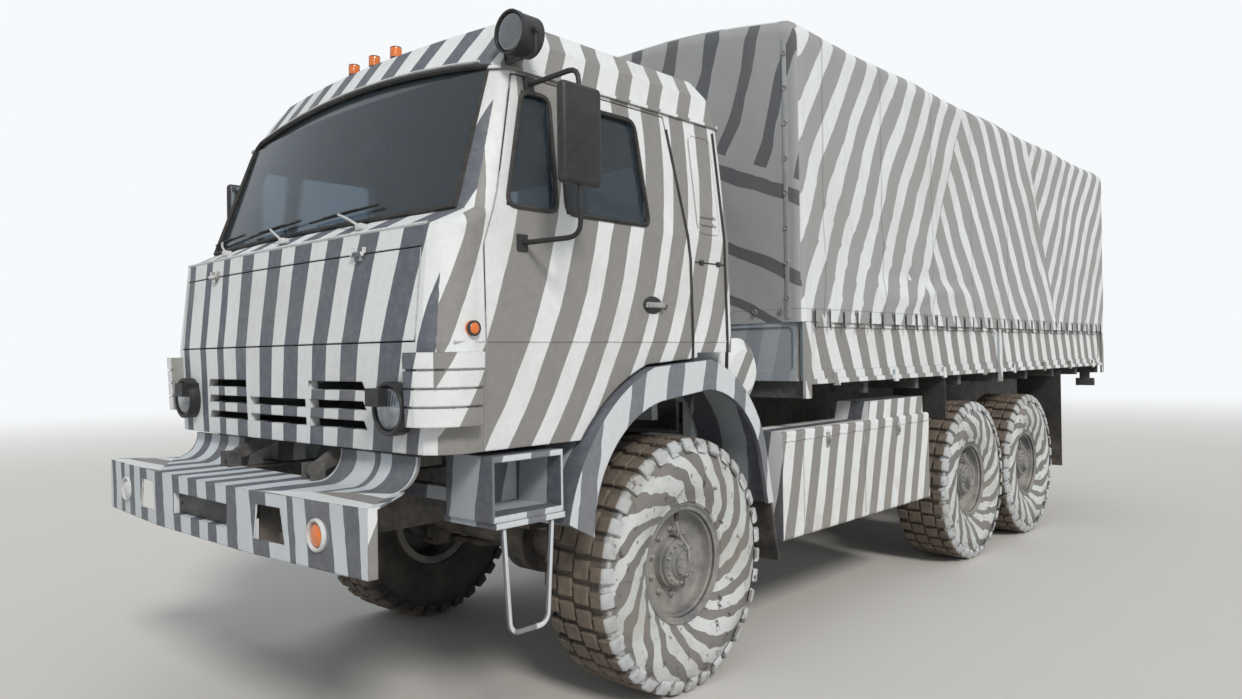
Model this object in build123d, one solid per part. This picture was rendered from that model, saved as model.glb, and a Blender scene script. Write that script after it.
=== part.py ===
from build123d import *
import os
from math import asin, cos, hypot, radians, sin, tan

# Three-axle military cargo truck with a forward-tilting cab and a canvas cargo body.
# Millimetres. The truck faces -Y, its left side is +X, +Z is up.
# The origin is on the ground under the middle of the overall length and width.

# Overall layout
front_overhang = 1850.0
wheelbase = 3690.0
bogie_spacing = 1320.0
rear_overhang = 2440.0
track = 2050.0
body_half_width = 1250.0

# Tyres and rims
tyre_radius = 625.0
tyre_width = 425.0
lug_height = 26.0
lug_count = 20
lug_width = 90.0
lug_turn = 10.0
lug_end_gap = 14.0
sidewall_lean = 46.0
rim_radius = 262.0
rim_width = 310.0
rim_wall = 12.0
flange_rise = 35.0
flange_thickness = 10.0
disc_offset = 50.0
disc_cone = 36.0
disc_thickness = 26.0
hub_radius = 135.0
hub_length = 175.0
hub_inner_end = 25.0
stub_radius = 55.0
running_clearance = 0.05

# Axles and steering
axle_tube_radius = 75.0
housing_radius = 190.0
housing_offset = 120.0
yoke_height = 130.0
yoke_plate = 30.0
kingpin_inset = 130.0
kingpin_radius = 45.0
steering_arm_length = 140.0
tie_rod_set_back = 95.0
tie_rod_radius = 20.0
ball_pin_radius = 14.0
open_pivot_clearance = 6.0
shaft_radius = 38.0

# Frame and springs
rail_outer = 435.0
rail_flange = 80.0
rail_wall = 9.0
rail_height = 260.0
frame_rise = 255.0
rail_front_inset = 60.0
rail_rear_inset = 320.0
leaf_thickness = 20.0
leaf_width = 90.0

# Bumper
bumper_height = 248.0
bumper_plate = 8.0
bumper_centre_half = 470.0
bumper_sweep = 55.0
bumper_depth = 350.0
tow_pin_hole_radius = 17.0
hitch_hole_radius = 24.0

# Front fenders and steps
fender_width = 450.0
fender_skin = 25.0
fender_gap = 14.0
step_depth = 295.0
step_length = 380.0
step_height = 260.0
side_box_depth = 330.0
tank_depth = 550.0
spare_x = -280.0
spare_rise = 40.0

# Cab
cab_half_width = 1200.0
cab_wall = 45.0
cab_rise = 150.0
cab_setback = 340.0
cab_rear_from_axle = 430.0
flap_rise = 430.0
flap_height = 370.0
flap_end_margin = 120.0
flap_thickness = 25.0
belt_rise = 135.0
window_band = 623.0
drip_rail_depth = 12.0
panel_gap = 6.0
door_setback = 260.0
door_rear_from_axle = 60.0
glass_thickness = 8.0
glass_depth = 14.0
platform_rise = 375.0
floor_thickness = 40.0
floor_gap = 0.2
tunnel_half_width = 340.0
tilt_pin_radius = 18.0
tilt_pin_rise = 50.0
lamp_radius = 105.0
corner_panel_depth = 60.0

# Cargo body
body_gap = 620.0
body_rise = 350.0
floor_plate = 30.0
bearer_height = 100.0
bearer_count = 9
board_height = 710.0
board_thickness = 35.0
board_inset = 20.0
headboard_thickness = 30.0
tailgate_thickness = 40.0
tailgate_gap = 5.0
stamp_corner = 30.0
stamp_depth = 8.0
post_width = 70.0
hem_rise = 350.0
canvas_height = 2130.0
canvas_thickness = 12.0
canvas_crown = 100.0
canvas_corner_radius = 130.0
bow_size = 34.0
bow_count = 5
hinge_radius = 12.0
hinge_pin_radius = 8.0

# Places worked out from the sizes above
overall_length = front_overhang + wheelbase + bogie_spacing + rear_overhang
front_y = -overall_length / 2
rear_y = overall_length / 2
front_axle_y = front_y + front_overhang
middle_axle_y = front_axle_y + wheelbase
rear_axle_y = middle_axle_y + bogie_spacing
bogie_y = (middle_axle_y + rear_axle_y) / 2
wheel_x = track / 2
kingpin_x = wheel_x - kingpin_inset
stub_root_x = wheel_x - 35
stub_end_x = wheel_x + hub_length - 60
axle_height = tyre_radius
rail_bottom = axle_height + frame_rise
rail_top = rail_bottom + rail_height
rail_front_end = front_y + rail_front_inset
rail_rear_end = rear_y - rail_rear_inset
spring_x = rail_outer - 30
rear_spring_x = rail_outer + 95
cab_front_y = front_y + cab_setback
cab_rear_y = front_axle_y + cab_rear_from_axle
cab_bottom = rail_top + cab_rise
flap_bottom_z = cab_bottom + flap_rise
flap_top_z = flap_bottom_z + flap_height
flap_half_width = cab_half_width - flap_end_margin
flap_hinge_y = cab_front_y + 23
flap_hinge_z = flap_top_z - 3
belt_z = flap_top_z + belt_rise
cowl_z = belt_z - 50
roof_joint_z = belt_z + window_band
door_front_y = cab_front_y + door_setback
door_rear_y = front_axle_y + door_rear_from_axle
platform_z = cab_bottom + platform_rise
tilt_y = cab_front_y - 20
tilt_z = rail_top + tilt_pin_rise
body_front_y = cab_rear_y + body_gap
between_y = (cab_rear_y + body_front_y) / 2
floor_z = rail_top + body_rise
floor_top = floor_z + floor_plate
bearer_z = floor_z - bearer_height
floor_half_width = body_half_width - board_inset - board_thickness
gate_hinge_y = rear_y - hinge_radius - 4
gate_outer_y = gate_hinge_y - 2
gate_bottom_z = floor_z + 8
gate_hinge_z = gate_bottom_z - 3
load_front_y = body_front_y + 20 + headboard_thickness
load_rear_y = gate_outer_y - tailgate_thickness - tailgate_gap
board_top_z = floor_z + board_height
hem_z = floor_z + hem_rise
canvas_corner_z = floor_z + canvas_height
canvas_top_z = canvas_corner_z + canvas_crown
fender_inner_x = body_half_width - fender_width
fender_rear_y = front_axle_y + 785
side_box_front_y = fender_rear_y + 85
side_box_rear_y = middle_axle_y - tyre_radius - 215
transfer_case_y = middle_axle_y - 1040
cross_member_z = rail_bottom + 150
far = body_half_width + 250

os.makedirs("parts", exist_ok=True)
nodes = {}


# Shared shape helpers

def outline(*steps):
    """A face from a start point and steps: a point is a line, a (middle, end) pair is an arc."""
    edges, here = [], steps[0]
    for step in steps[1:]:
        if isinstance(step[0], tuple):
            middle, there = step
            edges.append(ThreePointArc(here, middle, there))
        else:
            there = step
            edges.append(Line(here, there))
        here = there
    if hypot(here[0] - steps[0][0], here[1] - steps[0][1]) > 1e-6:
        edges.append(Line(here, steps[0]))
    return make_face(edges)


def block(x0, x1, y0, y1, z0, z1):
    """A box between two corners, given in either order."""
    centre = Pos((x0 + x1) / 2, (y0 + y1) / 2, (z0 + z1) / 2)
    return centre * Box(abs(x1 - x0), abs(y1 - y0), abs(z1 - z0))


def along_x(face, x0, x1):
    """Extrudes a (y, z) outline from x0 to x1."""
    return extrude(Plane.YZ.offset(x0) * face, amount=x1 - x0)


def along_y(face, y0, y1):
    """Extrudes an (x, z) outline from y0 to y1."""
    plane = Plane(origin=(0, y1, 0), x_dir=(1, 0, 0), z_dir=(0, -1, 0))
    return extrude(plane * face, amount=y1 - y0)


def along_z(face, z0, z1):
    """Extrudes an (x, y) outline from z0 to z1."""
    return extrude(Pos(0, 0, z0) * face, amount=z1 - z0)


def rod_x(radius, x0, x1, y, z):
    return Pos((x0 + x1) / 2, y, z) * Rot(0, 90, 0) * Cylinder(radius, abs(x1 - x0))


def rod_y(radius, y0, y1, x, z):
    return Pos(x, (y0 + y1) / 2, z) * Rot(90, 0, 0) * Cylinder(radius, abs(y1 - y0))


def rod_z(radius, z0, z1, x, y):
    return Pos(x, y, (z0 + z1) / 2) * Cylinder(radius, abs(z1 - z0))


def rod_between(radius, start, end):
    """A round bar from one point to another."""
    run = Vector(*end) - Vector(*start)
    return extrude(Plane(origin=start, z_dir=run) * Circle(radius), amount=run.length)


def bent_bar(radius, points, corner):
    """A round bar along straight runs joined by arcs."""
    path = FilletPolyline(*points, radius=corner)
    profile = Plane(origin=path @ 0, z_dir=path % 0) * Circle(radius)
    return sweep(profile, path=path)


def other_side(shape):
    return mirror(shape, about=Plane.YZ)


def both_sides(*shapes):
    """The shapes and their mirror images."""
    return [*shapes, *[other_side(shape) for shape in shapes]]


def spread(start, end, count):
    """Evenly spaced places from start to end."""
    return [start + (end - start) * index / (count - 1) for index in range(count)]


def barrel_hinge(centre, knuckle, radius, pin, room, y, z):
    """Barrel hinge along X: fixed barrels with their pin, the moving barrel, and the space each needs."""
    gap = 1.0
    inner, outer = knuckle, 2 * knuckle
    fixed, moving_cut = [], []
    for x0, x1 in ((centre - outer, centre - inner), (centre + inner, centre + outer)):
        fixed.append(rod_x(radius, x0, x1, y, z))
        moving_cut.append(rod_x(radius + room, x0 - gap, x1 + gap, y, z))
    fixed.append(rod_x(pin, centre - outer, centre + outer, y, z))
    moving_cut.append(rod_x(pin + running_clearance, centre - outer, centre + outer, y, z))
    moving = rod_x(radius, centre - inner + gap, centre + inner - gap, y, z)
    fixed_cut = rod_x(radius + room, centre - inner, centre + inner, y, z)
    return fixed, moving, fixed_cut, moving_cut


def put(name, *shapes):
    """Keeps the shapes as one node, fusing those that touch."""
    whole = shapes[0]
    if len(shapes) > 1:
        whole = whole + list(shapes[1:])
    nodes[name] = whole


# Tyres and rims, made about the X axis at the origin with the outer side at +X

def make_tyre():
    """Flat-sided carcass from one wedge turned round the axis, with a tread lug on each flat."""
    half = tyre_width / 2
    base = tyre_radius - lug_height
    bead = rim_width / 2 - flange_thickness
    flange = rim_radius + flange_rise + 6
    widest = (flange + base) / 2 + 4
    profile = outline(
        (-bead, rim_radius),
        (-bead, flange),
        (-half, widest),
        (-half + sidewall_lean, base),
        (half - sidewall_lean, base),
        (half, widest),
        (bead, flange),
        (bead, rim_radius),
    )
    step = 360 / lug_count
    reach = tyre_radius + lug_height
    side = reach * tan(radians(step / 2))
    sector = along_x(outline((0, 0), (side, reach), (-side, reach)), -tyre_width, tyre_width)
    wedge = along_y(profile, -side, side) & sector
    wedges = [Rot(180 + step * index, 0, 0) * wedge for index in range(lug_count)]
    lug = make_lug(half, base)
    turned_lug = Rot(0, 0, 180) * lug
    lugs = []
    for index in range(lug_count):
        lugs.append(Rot(180 + step * index, 0, 0) * (lug if index % 2 else turned_lug))
    return wedges[0] + wedges[1:] + lugs


def make_lug(half, base):
    """Slanted block that runs from past the middle line over the shoulder."""
    end = half - lug_end_gap
    past_middle = 25.0
    root = base - 120
    face = outline((-past_middle, root), (-past_middle, tyre_radius), (end, tyre_radius), (end, root))
    return Rot(0, 0, lug_turn) * along_y(face, -lug_width / 2, lug_width / 2)


def make_rim(with_hub):
    """Deep-dished steel wheel; with its hub and end cap it is bored for the stub."""
    half = rim_width / 2
    inner = rim_radius - rim_wall
    flange = rim_radius + flange_rise
    seat = half - flange_thickness
    centre_radius = hub_radius - 10
    ring = outline(
        (-half, inner),
        (-half, flange),
        (-seat, flange),
        (-seat, rim_radius),
        (seat, rim_radius),
        (seat, flange),
        (half, flange),
        (half, inner),
    )
    disc = outline(
        (disc_offset - 10, centre_radius),
        (disc_offset - 10 + disc_cone, inner + 2),
        (disc_offset - 10 + disc_cone + disc_thickness, inner + 2),
        (disc_offset - 10 + disc_thickness, centre_radius),
    )
    wheel = revolve(ring, Axis.X) + revolve(disc, Axis.X)
    if not with_hub:
        return wheel
    bore = stub_radius + running_clearance
    face = hub_length - hub_inner_end
    cap = 75.0
    hub = outline(
        (-hub_inner_end, bore),
        (-hub_inner_end, hub_radius),
        (face, hub_radius),
        (face, cap),
        (hub_length, cap - 8),
        (hub_length, 0),
        (hub_length - 40, 0),
        (hub_length - 40, bore),
    )
    return wheel + revolve(hub, Axis.X)


def place_wheels():
    """Six wheels; the right-hand ones are the left ones turned half round."""
    tyre, rim = make_tyre(), make_rim(True)
    # Name, axle station
    axles = (("front", front_axle_y), ("middle", middle_axle_y), ("rear", rear_axle_y))
    for name, y in axles:
        left = Pos(wheel_x, y, axle_height)
        right = Pos(-wheel_x, y, axle_height) * Rot(0, 0, 180)
        put(f"tyre_{name}_left", left * tyre)
        put(f"rim_{name}_left", left * rim)
        put(f"tyre_{name}_right", right * tyre)
        put(f"rim_{name}_right", right * rim)
    spare = Pos(spare_x, between_y, rail_top + spare_rise + tyre_radius) * Rot(0, 0, 90)
    put("spare_tyre", spare * tyre)
    put("spare_rim", spare * make_rim(False))


# Axles, knuckles and steering

def place_axles():
    tube_end = kingpin_x - 95
    front = rod_x(axle_tube_radius, -tube_end, tube_end, front_axle_y, axle_height)
    front += [gear_housing(front_axle_y, 1), *both_sides(make_yoke())]
    put("front_axle", front)
    brake_radius, brake_thickness = 200.0, 16.0
    pair = []
    # Axle station, which ends carry a shaft
    for y, ends in ((middle_axle_y, 2), (rear_axle_y, 1)):
        axle = rod_x(axle_tube_radius + 10, -stub_root_x, stub_root_x, y, axle_height)
        axle += gear_housing(y, ends)
        stub = rod_x(stub_radius, stub_root_x, stub_end_x, y, axle_height)
        plate = rod_x(brake_radius, stub_root_x - 60, stub_root_x - 60 + brake_thickness, y, axle_height)
        axle += both_sides(stub, plate)
        pair.append(axle)
    put("rear_axles", *pair)


def gear_housing(y, ends):
    """Banjo housing for the gears, with a nose for the shaft, and on the middle axle a second one."""
    x = housing_offset
    nose_z = axle_height + 30
    bowl = rod_x(housing_radius, x - 75, x + 75, y, axle_height)
    cone = Pos(x, y, axle_height) * Rot(0, 90, 0) * Cone(housing_radius - 40, axle_tube_radius + 12, 340)
    # The front axle's shaft comes from behind, the rear axles' from ahead
    ahead = 1 if y == front_axle_y else -1
    nose = rod_y(85, y, y + ahead * 240, x, nose_z)
    if ends == 2:
        nose += rod_y(60, y, y - ahead * 240, x, nose_z)
    return bowl + cone + nose


def make_yoke():
    """Fork at the end of the front axle that holds the knuckle above and below."""
    inner, outer = kingpin_x - 105, kingpin_x + 50
    low, high = axle_height - yoke_height, axle_height + yoke_height
    face = outline(
        (inner, low - yoke_plate),
        (outer, low - yoke_plate),
        (outer, low),
        (inner + 40, low),
        (inner + 40, high),
        (outer, high),
        (outer, high + yoke_plate),
        (inner, high + yoke_plate),
    )
    return along_y(face, front_axle_y - 55, front_axle_y + 55)


def place_steering():
    """Knuckles between the yokes, each with its stub and arm, and the rod that joins the arms."""
    gap = 1.0
    low, high = axle_height - yoke_height + gap, axle_height + yoke_height - gap
    y = front_axle_y
    ball_x, ball_y = kingpin_x, y + steering_arm_length
    arm_thickness, arm_half, eye_half = 30.0, 28.0, 18.0
    body = rod_z(kingpin_radius, low, high, kingpin_x, y)
    body += rod_x(stub_radius, kingpin_x, stub_end_x, y, axle_height)
    body += rod_x(100, kingpin_x + 62, kingpin_x + 80, y, axle_height)
    arm = outline(
        (ball_x - arm_half, y),
        (ball_x + arm_half, y),
        (ball_x + arm_half, ball_y),
        ((ball_x, ball_y + arm_half), (ball_x - arm_half, ball_y)),
    )
    body += along_z(arm, low, low + arm_thickness)
    pin_low = low - 44
    body += rod_z(ball_pin_radius, pin_low, low, ball_x, ball_y)
    put("knuckle_left", body)
    put("knuckle_right", other_side(body))
    rod_z_mid = (pin_low + low) / 2
    middle_y, bend_x, turn = ball_y + tie_rod_set_back, 420.0, 60.0
    rod = bent_bar(tie_rod_radius, [
        (-ball_x, ball_y, rod_z_mid),
        (-bend_x - 150, ball_y, rod_z_mid),
        (-bend_x, middle_y, rod_z_mid),
        (bend_x, middle_y, rod_z_mid),
        (bend_x + 150, ball_y, rod_z_mid),
        (ball_x, ball_y, rod_z_mid),
    ], turn)
    # The rod's right eye is the linkage's open pivot
    eyes = ((1, running_clearance), (-1, open_pivot_clearance))
    for side, clearance in eyes:
        rod += rod_z(30, rod_z_mid - eye_half, rod_z_mid + eye_half, side * ball_x, ball_y)
    for side, clearance in eyes:
        rod -= rod_z(ball_pin_radius + clearance, pin_low, low + eye_half, side * ball_x, ball_y)
    put("tie_rod", rod)


# Frame, suspension and driveline

def leaf_pack(x, y, z, half_lengths, curve, hollow_up):
    """Stacked spring leaves bent about one centre. z is the outer face of the shortest leaf."""
    count = len(half_lengths)
    sign = 1 if hollow_up else -1
    centre_z = z + sign * (curve + count * leaf_thickness)
    blades = []
    for index, half in enumerate(half_lengths):
        near, outer = curve + index * leaf_thickness, curve + (index + 1) * leaf_thickness
        angle = asin(half / near)

        def spot(radius, turn):
            return (y + radius * sin(turn), centre_z - sign * radius * cos(turn))

        face = outline(
            spot(near, -angle),
            (spot(near, 0), spot(near, angle)),
            spot(outer, angle),
            (spot(outer, 0), spot(outer, -angle)),
        )
        blades.append(along_x(face, x - leaf_width / 2, x + leaf_width / 2))
    return blades[0] + blades[1:]


def place_frame():
    inner = rail_outer - rail_flange
    web = rail_outer - rail_wall
    section = outline(
        (rail_outer, rail_bottom),
        (rail_outer, rail_top),
        (inner, rail_top),
        (inner, rail_top - rail_wall),
        (web, rail_top - rail_wall),
        (web, rail_bottom + rail_wall),
        (inner, rail_bottom + rail_wall),
        (inner, rail_bottom),
    )
    put("frame_rails", *both_sides(along_y(section, rail_front_end, rail_rear_end)))
    # Station of each cross member, its depth along Y
    members = (
        (rail_front_end + 90, 80),
        (front_axle_y + 1360, 90),
        (transfer_case_y, 90),
        (bogie_y - 330, 90),
        (bogie_y + 330, 90),
        (rail_rear_end - 980, 90),
        (rail_rear_end - 55, 110),
    )
    bars = []
    for y, depth in members:
        bars.append(block(-web, web, y - depth / 2, y + depth / 2, cross_member_z, rail_top - 30))
    arm_low, arm_high, arm_half = rail_bottom + 50, rail_bottom + 130, 30.0
    box_inner, tank_inner = body_half_width - side_box_depth, body_half_width - tank_depth
    for y in (side_box_front_y + 250, side_box_rear_y - 300):
        bars.append(block(rail_outer, box_inner, y - arm_half, y + arm_half, arm_low, arm_high))
    for y in (side_box_front_y + 250, side_box_rear_y - 700):
        bars.append(block(-rail_outer, -tank_inner, y - arm_half, y + arm_half, arm_low, arm_high))
    put("cross_members", *bars)


def place_suspension():
    tube_top = axle_height + axle_tube_radius
    seat_top = tube_top + 30
    half_seat = leaf_width / 2
    front = leaf_pack(spring_x, front_axle_y, seat_top, (720, 600, 480, 360, 240), 6500, True)
    seat = block(spring_x - half_seat, spring_x + half_seat, front_axle_y - 80, front_axle_y + 80,
                 tube_top - 20, seat_top + 2)
    seat -= rod_x(axle_tube_radius, 0, rail_outer + leaf_width, front_axle_y, axle_height)
    front_pieces = [front, seat]
    for y in (front_axle_y - 690, front_axle_y + 690):
        front_pieces.append(block(spring_x - 30, spring_x + 30, y - 40, y + 40, rail_bottom - 45, rail_bottom))
    top = tube_top + 195
    halves = (bogie_spacing / 2 + 40, 560, 460, 360, 260, 160)
    rear = leaf_pack(rear_spring_x, bogie_y, top, halves, 3600, False)
    rear_pieces = [rear]
    for y in (middle_axle_y, rear_axle_y):
        pad = block(rear_spring_x - half_seat, rear_spring_x + half_seat, y - 45, y + 45,
                    axle_height + 50, tube_top + 17)
        rear_pieces.append(pad - rod_x(axle_tube_radius + 10, 0, rear_spring_x * 2, y, axle_height))
    saddle = block(rail_outer, rear_spring_x + 50, bogie_y - 110, bogie_y + 110, top, top + 60)
    saddle += block(rail_outer, rail_outer + 40, bogie_y - 180, bogie_y + 180, top, rail_bottom + 160)
    put("springs", *both_sides(*front_pieces, *rear_pieces, saddle))


def place_driveline():
    """Engine block with its mounts, gearbox, transfer case and shafts."""
    engine_half = 300.0
    engine_rear_y = front_axle_y + 320
    engine = block(-engine_half, engine_half, front_axle_y - 800, engine_rear_y, axle_height + 225, cab_bottom + 290)
    mounts = []
    for y in (front_axle_y - 600, front_axle_y + 150):
        mounts.append(block(engine_half, rail_outer - rail_wall, y - 40, y + 40, rail_bottom + 30, rail_bottom + 90))
    put("engine_block", engine, *both_sides(*mounts))
    gearbox_rear_y = engine_rear_y + 920
    case_front_y, case_rear_y = transfer_case_y - 270, transfer_case_y + 270
    case_bottom = cross_member_z - 270
    gearbox = block(-190, 190, engine_rear_y, gearbox_rear_y, rail_bottom - 20, rail_top - 20)
    case = block(-230, 230, case_front_y, case_rear_y, case_bottom, cross_member_z)
    shaft_z, low_z, nose_z = rail_bottom + 90, case_bottom + 60, axle_height + 30
    x = housing_offset
    # Start and end of each shaft
    shafts = (
        ((0, gearbox_rear_y, shaft_z), (0, case_front_y, shaft_z)),
        ((x, case_front_y, low_z), (x, front_axle_y + 290, nose_z)),
        ((x, case_rear_y, low_z), (x, middle_axle_y - 290, nose_z)),
    )
    drive = gearbox + case
    for start, end in shafts:
        drive += rod_between(shaft_radius, start, end)
    drive += rod_y(50, front_axle_y + 240, front_axle_y + 300, x, nose_z)
    drive += rod_y(50, middle_axle_y - 300, middle_axle_y - 240, x, nose_z)
    put("driveline", drive, rod_y(shaft_radius, middle_axle_y + 240, rear_axle_y - 240, x, nose_z))


# Front bumper, aprons, fenders and steps

def place_bumper():
    """Swept plate with a shelf, a plate recess, tow windows and lamp cups, and the aprons on the shelf."""
    high = rail_top + bumper_plate
    low = high - bumper_height
    middle_z = (low + high) / 2
    side = body_half_width - 15
    back = front_y + bumper_depth
    shelf_half = side - 215
    corner_y = front_y + bumper_sweep
    lip_y = corner_y + 45
    rim = outline(
        (-side, corner_y),
        (-bumper_centre_half, front_y),
        (bumper_centre_half, front_y),
        (side, corner_y),
        (side, lip_y),
        (shelf_half, back),
        (-shelf_half, back),
        (-side, lip_y),
    )
    plate = bumper_plate
    inner = outline(
        (-side + plate, corner_y + plate),
        (-bumper_centre_half, front_y + plate),
        (bumper_centre_half, front_y + plate),
        (side - plate, corner_y + plate),
        (side - plate, lip_y - 5),
        (side + 10, lip_y - 5),
        (side + 10, back + 10),
        (-side - 10, back + 10),
        (-side - 10, lip_y - 5),
        (-side + plate, lip_y - 5),
    )
    shell = along_z(rim, low, high) - along_z(inner, low - 5, high - plate)
    recess_half, recess_rise, recess_depth = 270.0, 48.0, 26.0
    tray = block(-recess_half - plate, recess_half + plate, front_y + 1, front_y + recess_depth + plate,
                 middle_z - recess_rise - plate, middle_z + recess_rise + plate)
    pocket = block(-recess_half, recess_half, front_y - 10, front_y + recess_depth,
                   middle_z - recess_rise, middle_z + recess_rise)
    shell = shell + tray - pocket
    lamp_x, cup_radius, cup_depth = side - 300, 62.0, 50.0
    cup_y = front_y + bumper_sweep * (lamp_x - bumper_centre_half) / (side - bumper_centre_half)
    for sign in (-1, 1):
        window = outline(
            (sign * (bumper_centre_half + 30), low + 60),
            (sign * (bumper_centre_half + 50), high - 50),
            (sign * (bumper_centre_half + 220), high - 50),
            (sign * (bumper_centre_half + 250), low + 60),
        )
        shell -= along_y(window, front_y - 10, front_y + 120)
        shell += rod_y(cup_radius + plate, cup_y + 3, cup_y + cup_depth, sign * lamp_x, middle_z)
        shell -= rod_y(cup_radius, front_y - 20, cup_y + cup_depth - plate, sign * lamp_x, middle_z)
        shell += rod_y(cup_radius - 22, cup_y + 6, cup_y + cup_depth, sign * lamp_x, middle_z)
    apron_front, apron_rear, apron_high = back - 50, back + 62, cab_bottom - 14
    apron = along_x(outline(
        (apron_front, high),
        ((apron_front + 79, high + 38), (apron_rear, apron_high)),
        (apron_rear + 12, apron_high),
        ((apron_front + 93, high + 36), (apron_front + 22, high)),
    ), rail_outer + 20, shelf_half)
    put("front_bumper", shell, *both_sides(apron))


def tow_forks():
    """Forks behind the bumper's windows, on brackets that reach the rails."""
    inner, outer = 560.0, 640.0
    front, back = front_y + 80, front_y + 300
    low, high = rail_bottom + 60, rail_top - 50
    fork = block(inner, outer, front, back, low, high)
    fork -= block(inner - 10, outer + 10, front - 10, back - 100, low + 40, high - 40)
    fork += block(rail_outer, inner, back - 80, back, low, high)
    fork -= rod_z(tow_pin_hole_radius, rail_bottom, rail_top, (inner + outer) / 2, front + 40)
    return both_sides(fork)


def fender_outline(grow=0.0):
    """Side shape over the front wheel from sizes off the axle, moved out by grow."""
    y, z = front_axle_y, axle_height
    return outline(
        (y - 850 - grow, z + 325),
        ((y - 665 - grow, z + 710 + grow / 2), (y - 280, z + 975 + grow)),
        (y + 160, z + 1005 + grow),
        ((y + 435 + grow * 0.6, z + 860 + grow * 0.6), (y + 645 + grow, z + 525)),
        (fender_rear_y + grow, z - 115),
        (y, z - 115),
    )


def place_fenders():
    """Arched fenders with a turned-in lip, carried by stays, their rear ends in rubber flaps."""
    y, z = front_axle_y, axle_height
    skin = fender_skin
    paint_end_z = axle_height + 215
    hollow = outline(
        (y - 850 + skin, z + 275),
        ((y - 665 + skin, z + 710 - skin / 2), (y - 280, z + 975 - skin)),
        (y + 160, z + 1005 - skin),
        ((y + 435 - skin * 0.7, z + 860 - skin * 0.7), (y + 645 - skin, z + 525)),
        (fender_rear_y - skin, z - 125),
        (y, z - 225),
    )
    lip_hole = outline(
        (y - 700, z + 235),
        ((y - 570, z + 615), (y - 230, z + 815)),
        (y + 130, z + 855),
        ((y + 405, z + 760), (y + 590, z + 505)),
        (y + 745, z - 135),
        (y, z - 225),
    )
    outer_x = body_half_width
    shell = along_x(fender_outline(), fender_inner_x, outer_x)
    shell -= along_x(hollow, fender_inner_x - 10, outer_x + 10)
    shell += along_x(fender_outline(), outer_x - skin, outer_x) - along_x(lip_hole, outer_x - skin - 10, outer_x + 10)
    painted = shell - block(fender_inner_x - 20, outer_x + 20, y, fender_rear_y + 50, z - 200, paint_end_z)
    stay_y, stay_low, stay_high = y + 225, z + 680, z + 740
    root_x, tip_x = rail_outer - 60, fender_inner_x + 15
    stay = block(root_x, rail_outer, stay_y - 25, stay_y + 25, rail_top, stay_high)
    stay += block(root_x, tip_x, stay_y - 25, stay_y + 25, stay_low, stay_high)
    stay += block(tip_x - 40, tip_x, stay_y - 25, stay_y + 25, stay_low, z + 975)
    put("front_fenders", *both_sides(painted, stay))
    slope = 140 / 640
    top_y = fender_rear_y - slope * (paint_end_z - z + 115)
    flap = outline(
        (top_y - skin + 4, paint_end_z),
        (fender_rear_y - skin + 4, z - 115),
        (fender_rear_y - 4, z - 115),
        (top_y - 4, paint_end_z),
    )
    return both_sides(along_x(flap, fender_inner_x + 10, outer_x - 10))


def place_steps():
    """Step boxes under the doors with a plate and a hanging bent rod."""
    outer = body_half_width - 25
    inner = outer - step_depth
    y1 = front_axle_y - 860
    y0 = y1 - step_length
    top = cab_bottom - 20
    plate_z = top - step_height
    foot_z = axle_height - 65
    wall, open_low = 12.0, 25.0
    box = block(inner, outer, y0, y1, plate_z, top)
    box -= block(inner + wall, outer + 40, y0 + wall, y1 - wall, plate_z + open_low, top - open_low)
    plate = block(inner - 30, outer + 10, y0 + 10, y1, plate_z - 25, plate_z)
    beam = block(rail_outer, inner, y0 + 120, y0 + 180, plate_z + 30, plate_z + 90)
    rod_x_place = outer - 10
    rod = bent_bar(11, [
        (rod_x_place, y0 + 60, plate_z - 25),
        (rod_x_place, y0 + 90, foot_z),
        (rod_x_place, y1 - 90, foot_z),
        (rod_x_place, y1 - 60, plate_z - 25),
    ], 50)
    put("step_boxes", *both_sides(box, plate, beam, rod))


# Side equipment on the frame

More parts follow.
